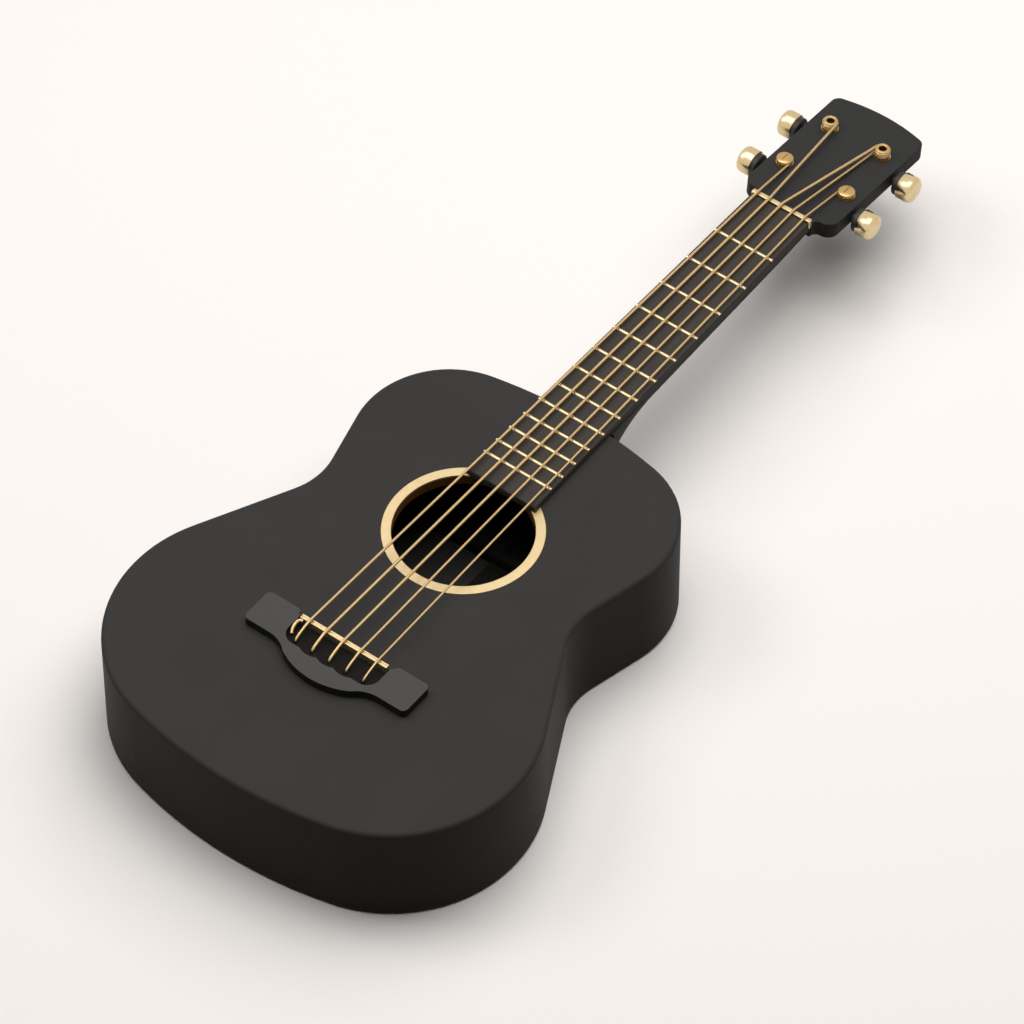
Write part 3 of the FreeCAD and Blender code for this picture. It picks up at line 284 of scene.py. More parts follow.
@dataclass(frozen=True)
class Finish:
    """A finish named for its real material; the subclasses lay its pattern."""

    title: str
    slot: str
    colour: str
    roughness: float = 0.5
    metallic: float = 0.0

    def build(self) -> bpy.types.Material:
        """Makes the material."""
        material = bpy.data.materials.new(self.title)
        material.use_nodes = True
        tree = material.node_tree
        tree.nodes.clear()
        shader = add_node(tree, "ShaderNodeBsdfPrincipled", {
            "Base Color": linear(self.colour), "Roughness": self.roughness,
            "Metallic": self.metallic})
        add_node(tree, "ShaderNodeOutputMaterial", {"Surface": shader.outputs["BSDF"]})
        place = add_node(tree, "ShaderNodeTexCoord").outputs["Object"]
        self.lay(tree, shader, place)
        material.diffuse_color = linear(self.colour)
        return material

    def lay(self, tree: bpy.types.NodeTree, shader: bpy.types.Node,
            place: bpy.types.NodeSocket) -> None:
        """Lays the finish's pattern on the shader."""
        raise NotImplementedError

    def stretched(self, tree: bpy.types.NodeTree, place: bpy.types.NodeSocket,
                  per_metre: tuple[float, float, float]) -> bpy.types.NodeSocket:
        """Place, scaled by so many pattern steps a metre along each axis."""
        mapping = add_node(tree, "ShaderNodeMapping", {"Vector": place, "Scale": per_metre})
        return mapping.outputs["Vector"]

    def blend_colours(self, tree: bpy.types.NodeTree, amount: bpy.types.NodeSocket,
                      low: str, high: str) -> bpy.types.NodeSocket:
        """Colour between two hex colours by an amount from 0 to 1."""
        mix = add_node(tree, "ShaderNodeMix", {"Factor": amount}, data_type="RGBA")
        mix.inputs[6].default_value = linear(low)
        mix.inputs[7].default_value = linear(high)
        return mix.outputs[2]

    def ranged(self, tree: bpy.types.NodeTree, value: bpy.types.NodeSocket,
               low: float, high: float) -> bpy.types.NodeSocket:
        """A 0.3 to 0.7 noise value spread over a range."""
        spread = add_node(tree, "ShaderNodeMapRange", {
            "Value": value, "From Min": 0.3, "From Max": 0.7, "To Min": low, "To Max": high})
        return spread.outputs["Result"]


@dataclass(frozen=True)
class SprayedLacquer(Finish):
    """Matte lacquer sprayed over sealed wood: a fine dry grain and hardly any gloss."""

    # The real grain of the spray is about 0.2 mm; it is drawn coarser, to show.
    grain_mm: float = 0.9
    light: str = "#454341"
    height: float = 0.035
    specular: float = 0.25

    def lay(self, tree: bpy.types.NodeTree, shader: bpy.types.Node,
            place: bpy.types.NodeSocket) -> None:
        """Fine spray grain, with a slow drift of tone across the panel."""
        grain_place = self.stretched(tree, place, (1000 / self.grain_mm,) * 3)
        grain = add_node(tree, "ShaderNodeTexNoise", {
            "Vector": grain_place, "Scale": 1.0, "Detail": 3.0, "Roughness": 0.65})
        drift_place = self.stretched(tree, place, (18.0, 18.0, 18.0))
        drift = add_node(tree, "ShaderNodeTexNoise", {
            "Vector": drift_place, "Scale": 1.0, "Detail": 4.0, "Roughness": 0.6})
        both = add_node(tree, "ShaderNodeMath", {0: grain.outputs["Fac"], 1: drift.outputs["Fac"]},
                        operation="ADD")
        half = add_node(tree, "ShaderNodeMath", {0: both.outputs[0], 1: 0.5},
                        operation="MULTIPLY")
        tone = self.ranged(tree, half.outputs[0], 0.0, 1.0)
        colour = self.blend_colours(tree, tone, self.colour, self.light)
        tree.links.new(colour, shader.inputs["Base Color"])
        rough = self.ranged(tree, grain.outputs["Fac"], self.roughness - 0.06,
                            self.roughness + 0.06)
        tree.links.new(rough, shader.inputs["Roughness"])
        shader.inputs["Specular IOR Level"].default_value = self.specular
        bump = add_node(tree, "ShaderNodeBump", {
            "Height": grain.outputs["Fac"], "Strength": 0.5, "Distance": self.height * MM})
        tree.links.new(bump.outputs["Normal"], shader.inputs["Normal"])


@dataclass(frozen=True)
class StraightGrain(Finish):
    """Wood with straight grain along one axis, stained or bare."""

    light: str = "#55504b"
    along: str = "Y"
    line_mm: float = 1.1
    # Real pores are about 0.2 mm wide; they are drawn coarser, to show.
    pore_mm: float = 0.5
    height: float = 0.05
    specular: float = 0.3

    def lay(self, tree: bpy.types.NodeTree, shader: bpy.types.Node,
            place: bpy.types.NodeSocket) -> None:
        """Long grain lines with short open pores between them."""
        long_way = 1000 / (self.line_mm * 45)
        across = 1000 / self.line_mm
        scale = {"X": (long_way, across, across), "Y": (across, long_way, across),
                 "Z": (across, across, long_way)}[self.along]
        lines = add_node(tree, "ShaderNodeTexNoise", {
            "Vector": self.stretched(tree, place, scale), "Scale": 1.0, "Detail": 5.0,
            "Roughness": 0.6, "Distortion": 0.4})
        pore_scale = tuple(value * self.line_mm / self.pore_mm for value in scale)
        pores = add_node(tree, "ShaderNodeTexNoise", {
            "Vector": self.stretched(tree, place, pore_scale), "Scale": 1.0, "Detail": 2.0})
        tone = self.ranged(tree, lines.outputs["Fac"], 0.0, 1.0)
        colour = self.blend_colours(tree, tone, self.colour, self.light)
        tree.links.new(colour, shader.inputs["Base Color"])
        rough = self.ranged(tree, pores.outputs["Fac"], self.roughness - 0.08,
                            self.roughness + 0.08)
        tree.links.new(rough, shader.inputs["Roughness"])
        shader.inputs["Specular IOR Level"].default_value = self.specular
        bump = add_node(tree, "ShaderNodeBump", {
            "Height": pores.outputs["Fac"], "Strength": 0.6, "Distance": self.height * MM})
        tree.links.new(bump.outputs["Normal"], shader.inputs["Normal"])


@dataclass(frozen=True)
class DrawnMetal(Finish):
    """Metal with the fine lines of a brush or a lathe, and a soft satin shine."""

    light: str = "#e8d3a4"
    # Real tool marks are about 0.05 mm apart; they are drawn coarser, to show.
    line_mm: float = 0.35
    along: str = "X"
    height: float = 0.006

    def lay(self, tree: bpy.types.NodeTree, shader: bpy.types.Node,
            place: bpy.types.NodeSocket) -> None:
        """Fine parallel lines with a little tarnish between them."""
        long_way = 1000 / (self.line_mm * 40)
        across = 1000 / self.line_mm
        scale = {"X": (long_way, across, across), "Y": (across, long_way, across),
                 "AROUND_X": (across, long_way, long_way), "NONE": (across,) * 3}[self.along]
        lines = add_node(tree, "ShaderNodeTexNoise", {
            "Vector": self.stretched(tree, place, scale), "Scale": 1.0, "Detail": 4.0})
        cloud = add_node(tree, "ShaderNodeTexNoise", {
            "Vector": self.stretched(tree, place, (160.0,) * 3), "Scale": 1.0, "Detail": 3.0})
        tone = self.ranged(tree, cloud.outputs["Fac"], 0.0, 1.0)
        colour = self.blend_colours(tree, tone, self.colour, self.light)
        tree.links.new(colour, shader.inputs["Base Color"])
        rough = self.ranged(tree, lines.outputs["Fac"], self.roughness - 0.07,
                            self.roughness + 0.07)
        tree.links.new(rough, shader.inputs["Roughness"])
        bump = add_node(tree, "ShaderNodeBump", {
            "Height": lines.outputs["Fac"], "Strength": 0.4, "Distance": self.height * MM})
        tree.links.new(bump.outputs["Normal"], shader.inputs["Normal"])


@dataclass(frozen=True)
class WoundWire(Finish):
    """Bronze wire wound on a core: closely spaced turns, with painted shade in the gaps between
    them.
    """

    dark: str = "#6d5024"
    turn_mm: float = 0.55

    def lay(self, tree: bpy.types.NodeTree, shader: bpy.types.Node,
            place: bpy.types.NodeSocket) -> None:
        """Turns across the string; a real turn of 0.25 mm is drawn coarser, to show."""
        turns = add_node(tree, "ShaderNodeTexWave", {
            "Vector": self.stretched(tree, place, (1000.0,) * 3),
            "Scale": 0.314 / self.turn_mm, "Distortion": 0.0},
            wave_type="BANDS", bands_direction="Y", wave_profile="SIN")
        # The dark colour between the turns is painted shade in the gaps.
        colour = self.blend_colours(tree, turns.outputs["Fac"], self.dark, self.colour)
        tree.links.new(colour, shader.inputs["Base Color"])
        bump = add_node(tree, "ShaderNodeBump", {
            "Height": turns.outputs["Fac"], "Strength": 0.7, "Distance": 0.06 * MM})
        tree.links.new(bump.outputs["Normal"], shader.inputs["Normal"])


class Paint(Enum):
    """The finishes of the guitar."""

    # Sprayed and left unpolished: a soft charcoal with no clear reflection.
    BODY = SprayedLacquer("matte black lacquer", "matte_black_wood", "#31302f", 0.66,
                          light="#373635", specular=0.1)
    # The same lacquer, handled more: a slightly tighter, darker face.
    HEAD = SprayedLacquer("matte black lacquer, rubbed", "matte_black_wood", "#2c2c2b", 0.6,
                          light="#313130", height=0.02, specular=0.1)
    # Stained through: brown-black, with the grain running to the nut.
    BOARD = StraightGrain("black stained rosewood", "matte_black_wood", "#36322e", 0.6,
                          light="#3f3b36", specular=0.14)
    # Open-pored wood under a thin stain: the palest of the blacks.
    BRIDGE = StraightGrain("black stained walnut", "matte_black_hardwood", "#424140", 0.56,
                           light="#464544", along="X", specular=0.18)
    # The walls and well floor below the bridge's top: the same walnut painted near black, as
    # painted shade.
    WELL = SprayedLacquer("black stained walnut, painted shade", "matte_black_hardwood", "#121110", 0.75,
                          light="#161514", specular=0.12)
    # Thin-bent spruce under clear lacquer: warm amber in the hole.
    BARE = StraightGrain("amber lacquered spruce", "bare_softwood", "#4f2f09", 0.55,
                         light="#6e4614", line_mm=1.6, specular=0.3)
    # Unfinished wood seen through the hole: dark, dry and dull.
    INSIDE = StraightGrain("grey stained spruce", "dark_softwood", "#171513", 0.85,
                           light="#262320", along="X", line_mm=1.8, specular=0.1)
    # Rubbed flat with the top: an even, pale gold with no sparkle.
    RING = DrawnMetal("satin brass inlay", "satin_brass", "#d2bd92", 0.5, 1.0,
                      light="#d9c59b", along="NONE", line_mm=0.6, height=0.001)
    # Drawn bar: pale gold with a long soft highlight.
    BRASS = DrawnMetal("drawn brass", "polished_brass", "#d8c296", 0.36, 1.0, light="#e0cda6",
                       height=0.001)
    # Lathe-turned and buffed: pale gold with rings round the knob.
    TURNED = DrawnMetal("turned brass", "polished_brass", "#d4be92", 0.24, 1.0,
                        light="#ddc9a0", along="AROUND_X", line_mm=0.8, height=0.001)
    # Turned and left satin: a deeper, browner gold.
    POST = DrawnMetal("satin brass, turned", "satin_brass", "#bf9f68", 0.36, 1.0,
                      light="#c9aa74", along="NONE", line_mm=0.5, height=0.001)
    # Brass painted dark brown inside the post's mouth: painted shade where the light hardly
    # reaches.
    BORE = DrawnMetal("brass bore, painted shade", "satin_brass", "#3a2a18", 0.8, 1.0,
                      light="#48341f", along="NONE", line_mm=0.8, height=0.001)
    # Bronze on a core: a fine beading of bronze, with painted shade in the gaps between turns.
    STRING = WoundWire("wound bronze", "bronze_wound_string", "#e2c896", 0.36, 1.0,
                       dark="#a08050")
    # Moulded with a fine texture: black with a weak sheen.
    NYLON = SprayedLacquer("moulded black nylon", "blackened_plastic", "#1c1b1a", 0.45,
                           light="#222120", grain_mm=0.5, specular=0.4)
    # Bright plating on hidden steel: grey and smooth.
    NICKEL = DrawnMetal("nickel plated steel", "nickelled_steel", "#8d8a85", 0.3, 1.0,
                        light="#a19e98", along="X", height=0.001)

    def material(self) -> bpy.types.Material:
        """The finish's material, made once."""
        made = bpy.data.materials.get(self.value.title)
        return made or self.value.build()


class Model:
    """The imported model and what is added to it."""

    nodes: dict[str, bpy.types.Object] = {}

    @classmethod
    def load(cls) -> dict:
        """Loads the frame and keeps its nodes at hand."""
        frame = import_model()
        cls.nodes = frame["nodes"]
        return frame

    @classmethod
    def dress(cls, paint: Paint, *names: str) -> None:
        """Gives CAD nodes their finish."""
        for name in names:
            node = cls.nodes[name]
            node.data.materials.clear()
            node.data.materials.append(paint.material())

    @staticmethod
    def add(piece: bpy.types.Object, name: str, body: str, paint: Paint,
            *replaced: str) -> bpy.types.Object:
        """Finishes a new piece, seats it on a body and hides the nodes it stands for."""
        settle(piece, name)
        piece.data.materials.clear()
        piece.data.materials.append(paint.material())
        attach(piece, body)
        if replaced:
            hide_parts(*replaced)
        log.info("%s: %d faces", name, len(piece.data.polygons))
        return piece


# ------------------------------------------------------------------ the guitar
@dataclass
class SoundBox:
    """Soundboard, back, ribs and everything glued inside them."""

    panels: tuple[str, ...] = ("soundboard", "back_plate", "rib_left", "rib_right")
    inside: tuple[str, ...] = ("neck_block", "end_block", "top_lining", "back_lining",
                               "top_braces", "back_braces", "back_centre_strip",
                               "bridge_plate")

    def build(self) -> None:
        """Dresses the box."""
        Model.dress(Paint.BODY, *self.panels)
        Model.dress(Paint.INSIDE, *self.inside)
        Model.dress(Paint.NICKEL, "neck_bolts", "truss_rod")


@dataclass
class SoundHole:
    """Ring around the hole and the wooden hoop inside it."""

    width: float = 6.0 * MM
    edge: float = 0.35 * MM
    sides: int = 256

    def build(self) -> None:
        """Models the ring and dresses the hoop."""
        low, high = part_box("soundhole_ring")
        middle = (low + high) / 2
        outer = (high.x - low.x) / 2
        bpy.ops.object.select_all(action="DESELECT")
        bpy.ops.mesh.primitive_circle_add(vertices=self.sides, radius=outer,
                                          fill_type="NOTHING", location=(0, 0, 0))
        ring = bpy.context.object
        with editing(ring, "ALL"):
            bpy.ops.mesh.extrude_edges_move()
            inward = (outer - self.width) / outer
            bpy.ops.transform.resize(value=(inward, inward, 1), center_override=(0, 0, 0))
            bpy.ops.mesh.select_all(action="SELECT")
            bpy.ops.mesh.normals_make_consistent(inside=False)
        modify(ring, "SOLIDIFY", thickness=high.z - low.z, offset=0.0)
        soften(ring, self.edge, 4)
        settle(ring, "ring", Matrix.Translation(middle))
        Model.add(ring, "sound_hole_ring", "guitar", Paint.RING, "soundhole_ring")
        Model.dress(Paint.BARE, "soundhole_hoop")


@dataclass
class Bridge:
    """Bowed bridge with its string well, and the saddle bar across it."""

    edge: float = 0.7 * MM
    saddle_edge: float = 0.22 * MM
    groove: float = 0.8 * MM
    lip: float = 0.75 * MM

    def build(self) -> None:
        """Models both pieces."""
        bridge = copy_of("bridge")
        soften(bridge, self.edge, 3, 50.0)
        Model.add(bridge, "bridge_block", "guitar", Paint.BRIDGE, "bridge")
        bridge.data.materials.append(Paint.WELL.material())
        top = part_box("bridge")[1].z - 1.2 * self.edge
        # Faces below the top take the near-black copy of the walnut: painted shade on the walls
        # and well.
        for face in bridge.data.polygons:
            face.material_index = int(face.center.z < top)
        self.build_saddle()

    def build_saddle(self) -> None:
        """Bar with a shallow groove along its crown, which leaves two bright lips."""
        low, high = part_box("saddle")
        saddle = block(low, high)
        top = high.z
        pick_faces(saddle, lambda centre, normal: normal.z > 0.9)
        with editing(saddle, "KEEP"):
            bpy.ops.mesh.inset(thickness=self.lip, depth=0.0)
            sink = {"value": (0, 0, -self.groove)}
            bpy.ops.mesh.extrude_region_move(TRANSFORM_OT_translate=sink)
            bpy.ops.transform.resize(value=(1, 0.6, 1),
                                     center_override=((low.x + high.x) / 2,
                                                      (low.y + high.y) / 2, top - self.groove))
        soften(saddle, self.saddle_edge, 3)
        Model.add(saddle, "saddle_bar", "guitar", Paint.BRASS, "saddle")


@dataclass
class Neck:
    """Neck, headplate, fretboard, frets and nut."""

    fret_sides: int = 28
    fret_end: float = 0.35 * MM
    board_edge: float = 1.3 * MM
    nut_edge: float = 0.6 * MM
    slot_radius: float = 0.95 * MM

    def build(self, nut_xs: Sequence[float], string_height: float) -> None:
        """Models the metal and dresses the wood.

        Args:
            nut_xs: Places of the strings across the nut.
            string_height: Height of the strings' centres at the nut.
        """
        Model.dress(Paint.HEAD, "neck")
        self.build_board()
        plate = copy_of("headplate")
        soften(plate, 0.6 * MM, 3, 50.0)
        Model.add(plate, "headplate_facing", "guitar", Paint.HEAD, "headplate")
        self.build_frets()
        self.build_nut(nut_xs, string_height)

    def build_board(self) -> None:
        """Tapered board with rounded long edges."""
        low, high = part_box("fretboard")
        corners = [vertex.co for vertex in Model.nodes["fretboard"].data.vertices]
        nut_half = max(abs(corner.x) for corner in corners if corner.y > high.y - 1 * MM)
        board = block(low, high)
        end = Vector((0, high.y, (low.z + high.z) / 2))
        pick_faces(board, lambda centre, normal: normal.y > 0.9)
        with editing(board, "KEEP"):
            bpy.ops.transform.resize(value=(nut_half / high.x, 1, 1), center_override=end)
        pick_faces(board, lambda centre, normal: normal.z > 0.9)
        with editing(board, "KEEP"):
            bpy.ops.mesh.bevel(offset=self.board_edge, segments=4, affect="EDGES")
        take(board)
        bpy.ops.object.shade_smooth_by_angle(angle=math.radians(40.0))
        Model.add(board, "fret_board", "guitar", Paint.BOARD, "fretboard")

    def fret_rows(self) -> list[tuple[float, float]]:
        """Place along the neck and half length of each fret, from the frame."""
        rows: dict[int, list[float]] = {}
        corners = sorted(((v.co.y, abs(v.co.x)) for v in Model.nodes["frets"].data.vertices))
        row = 0
        previous = corners[0][0]
        for y, x in corners:
            row += y - previous > 4 * MM
            previous = y
            seen = rows.setdefault(row, [y, y, x])
            seen[1] = y
            seen[2] = max(seen[2], x)
        return [((first + last) / 2, half) for first, last, half in rows.values()]

    def build_frets(self) -> None:
        """One crowned wire is modelled and copied for each fret."""
        board_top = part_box("fretboard")[1].z
        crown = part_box("frets")[1].z - board_top
        frets = []
        for y, half in self.fret_rows():
            bpy.ops.object.select_all(action="DESELECT")
            bpy.ops.mesh.primitive_cylinder_add(vertices=self.fret_sides, radius=1.1 * MM,
                                                depth=2 * half, rotation=(0, math.pi / 2, 0))
            fret = bpy.context.object
            bpy.ops.object.transform_apply(location=True, rotation=True, scale=True)
            with editing(fret, "ALL"):
                bpy.ops.mesh.bisect(plane_co=(0, 0, -0.35 * MM), plane_no=(0, 0, 1),
                                    use_fill=True, clear_inner=True)
                bpy.ops.mesh.select_all(action="SELECT")
                bpy.ops.transform.resize(value=(1, 1, crown / (1.1 * MM)),
                                         center_override=(0, 0, 0))
            soften(fret, self.fret_end, 3)
            frets.append(settle(fret, "fret", Matrix.Translation((0, y, board_top))))
        Model.add(join(frets), "fret_wires", "guitar", Paint.BRASS, "frets")

    def build_nut(self, xs: Sequence[float], height: float) -> None:
        """Rounded bar with a slot under each string."""
        low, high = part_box("nut")
        nut = block(low, high)
        soften(nut, self.nut_edge, 4)
        cutters = []
        for x in xs:
            bpy.ops.object.select_all(action="DESELECT")
            bpy.ops.mesh.primitive_cylinder_add(vertices=32, radius=self.slot_radius,
                                                depth=4 * (high.y - low.y),
                                                rotation=(math.pi / 2, 0, 0),
                                                location=(x, (low.y + high.y) / 2, height))
            cutters.append(bpy.context.object)
        cutter = join(cutters)
        bpy.ops.object.transform_apply(location=True, rotation=True, scale=True)
        modify(nut, "BOOLEAN", object=cutter, operation="DIFFERENCE", solver="EXACT")
        bpy.data.objects.remove(cutter)
        take(nut)
        bpy.ops.object.shade_smooth_by_angle(angle=math.radians(35.0))
        Model.add(nut, "nut_bar", "guitar", Paint.BRASS, "nut")


@dataclass
class MachineHead:
    """One tuner: a post that stands out of the face and a knob at the side."""

    name: str
    post: Vector
    up: Vector
    knob: Vector
    out: Vector
    string_radius: float
    spool: float = 3.6 * MM
    first_turn: float = 2.0 * MM
    pitch: float = 1.75 * MM
    disc: float = 5.3 * MM
    cap_round: float = 3.2 * MM

    @property
    def tall(self) -> bool:
        """Whether the post is one of the two tall ones."""
        return self.name.startswith("upper")

    @property
    def coil(self) -> float:
        """Radius of the middle of the string around the post."""
        return self.spool + self.string_radius

    @property
    def turns(self) -> int:
        """Turns of string around the post."""
        return 3 if self.tall else 1

    def upright(self) -> Matrix:
        """Place of the post: Z out of the face and Y away from the nut."""
        across = Vector((1, 0, 0))
        along = self.up.cross(across)
        axes = Matrix((across, along, self.up)).transposed().to_4x4()
        return Matrix.Translation(self.post) @ axes

    def sideways(self) -> Matrix:
        """Place of the knob: Z out of the side of the headstock."""
        along = self.up.cross(Vector((1, 0, 0)))
        axes = Matrix((along.cross(self.out), along, self.out)).transposed().to_4x4()
        return Matrix.Translation(self.knob) @ axes

    def build(self) -> None:
        """Models the post, its turns of string and the knob, and dresses the worm shaft and wheel.
        """
        if self.tall:
            self.build_tall_post()
        else:
            self.build_low_post()
        self.build_turns()
        self.build_knob()
        Model.dress(Paint.NICKEL, "worm_shaft_" + self.name)
        Model.dress(Paint.POST, "worm_wheel_" + self.name)

    def build_tall_post(self) -> None:
        """Open spool with a flared lip and a mouth painted dark, as painted shade."""
        low = 0.9 * MM
        top = self.first_turn + 2 * self.pitch + self.string_radius + 0.6 * MM
        lip = self.spool + 1.1 * MM
        mouth = 2.4 * MM
        profile = [(2.5 * MM, -6 * MM), (2.5 * MM, low), (self.spool, low),
                   (self.spool, top - 1.9 * MM), (lip - 0.35 * MM, top - 1.75 * MM),
                   (lip, top - 1.2 * MM), (lip, top - 0.7 * MM), (lip - 0.5 * MM, top - 0.12 * MM),
                   (lip - 1.1 * MM, top), (mouth + 0.5 * MM, top - 0.1 * MM),
                   (mouth, top - 0.7 * MM), (mouth * 0.94, top - 3.4 * MM)]
        post = turned(profile)
        soften(post, 0.15 * MM, 2, 20.0)
        # Faces inside the mouth take the dark brass: painted shade.
        bore = [face.index for face in post.data.polygons
                if face.center.z < top - 0.3 * MM and face.center.z > low
                and math.hypot(face.center.x, face.center.y) < mouth + 0.1 * MM]
        settle(post, "post", self.upright())
        Model.add(post, "post_" + self.name, "post_" + self.name, Paint.POST,
                  "tuner_post_" + self.name)
        post.data.materials.append(Paint.BORE.material())
        for index in bore:
            post.data.polygons[index].material_index = 1

    def build_low_post(self) -> None:
        """Low domed disc with a slot across it."""
        top = self.first_turn + self.string_radius + 0.05 * MM
        rim = top + 0.9 * MM
        profile = [(2.5 * MM, -6 * MM), (2.5 * MM, 0.9 * MM), (self.spool, 0.9 * MM),
                   (self.spool, top), (self.disc, top), (self.disc, rim - 0.2 * MM),
                   (self.disc * 0.92, rim + 0.15 * MM), (self.disc * 0.72, rim + 0.5 * MM),
                   (self.disc * 0.4, rim + 0.78 * MM), (self.disc * 0.1, rim + 0.88 * MM)]
        post = turned(profile)
        bpy.ops.object.select_all(action="DESELECT")
        bpy.ops.mesh.primitive_cube_add(size=1, scale=(1.0 * MM, 5.6 * MM, 1.6 * MM),
                                        location=(0, 0, rim + 1.05 * MM))
        blade = bpy.context.object
        bpy.ops.object.transform_apply(location=True, rotation=True, scale=True)
        modify(post, "BOOLEAN", object=blade, operation="DIFFERENCE", solver="EXACT")
        bpy.data.objects.remove(blade)
        soften(post, 0.1 * MM, 2)
        settle(post, "post", self.upright())
        Model.add(post, "post_" + self.name, "post_" + self.name, Paint.POST,
                  "tuner_post_" + self.name)

    def build_turns(self) -> None:
        """Turns of string wound up the post."""
        steps = 12
        points = []
        start = 0.25 * math.pi if self.post.x < 0 else 0.75 * math.pi
        way = -1 if self.post.x < 0 else 1
        span = self.turns * 2 * math.pi * 0.97
        count = self.turns * steps
        for index in range(count + 1):
            share = index / count
            angle = start + way * share * span
            height = self.first_turn + share * (self.turns - 1) * self.pitch
            points.append(self.upright() @ Vector((self.coil * math.cos(angle),
                                                   self.coil * math.sin(angle), height)))
        winding = wire(points, self.string_radius, 4)
        Model.add(winding, "turns_" + self.name, "post_" + self.name, Paint.STRING,
                  "string_winding_" + self.name)

    def build_knob(self) -> None:
        """Black collar and base, and the domed gold cap."""
        base_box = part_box("knob_base_" + self.name)
        cap_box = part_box("knob_cap_" + self.name)
        inner, middle = sorted((base_box[0].x, base_box[1].x), key=abs)
        base_low = abs(inner) - abs(self.knob.x)
        cap_low = abs(middle) - abs(self.knob.x)
        end = max(abs(cap_box[0].x), abs(cap_box[1].x)) - abs(self.knob.x)
        wide = (base_box[1].y - base_box[0].y) / 2
        full = (cap_box[1].y - cap_box[0].y) / 2
        base = turned([(1.6 * MM, base_low), (3.3 * MM, base_low), (3.3 * MM, base_low + 0.4 * MM),
                       (3.0 * MM, base_low + 1.0 * MM), (3.0 * MM, base_low + 2.4 * MM),
                       (wide - 0.8 * MM, base_low + 2.6 * MM), (wide, base_low + 3.3 * MM),
                       (wide, cap_low), (1.6 * MM, cap_low)])
        soften(base, 0.25 * MM, 3)
        settle(base, "base", self.sideways())
        Model.add(base, "knob_base_shell_" + self.name, "knob_" + self.name, Paint.NYLON,
                  "knob_base_" + self.name)
        shoulder = [(full - self.cap_round * (1 - math.cos(angle)),
                     end - 0.35 * MM - self.cap_round * (1 - math.sin(angle)))
                    for angle in (math.radians(12 * step) for step in range(8))]
        cap = turned([(full - 0.4 * MM, cap_low), (full, cap_low + 0.4 * MM), *shoulder,
                      (3.2 * MM, end - 0.12 * MM), (1.6 * MM, end - 0.03 * MM)])
        bpy.ops.object.shade_smooth_by_angle(angle=math.radians(50.0))
        settle(cap, "cap", self.sideways())
        Model.add(cap, "knob_cap_shell_" + self.name, "knob_" + self.name, Paint.TURNED,
                  "knob_cap_" + self.name)


@dataclass
class Headgear:
    """The four machine heads and what they share."""

    heads: list[MachineHead] = field(default_factory=list)

    def build(self, joints: Sequence[dict], string_radius: float) -> None:
        """Makes a machine head from each pair of joints."""
        places = {joint["name"]: joint for joint in joints}
        for side in ("upper_left", "upper_right", "lower_left", "lower_right"):
            post = places["turn_post_" + side]
            knob = places["turn_knob_" + side]
            head = MachineHead(side, Vector(post["pos_m"]), Vector(post["axis"]).normalized(),
                               Vector(knob["pos_m"]), Vector(knob["axis"]), string_radius)
            head.build()
            self.heads.append(head)
        Model.dress(Paint.POST, "tuner_bushings")
        Model.dress(Paint.NICKEL, "tuner_housings", "tuner_covers", "tuner_screws")


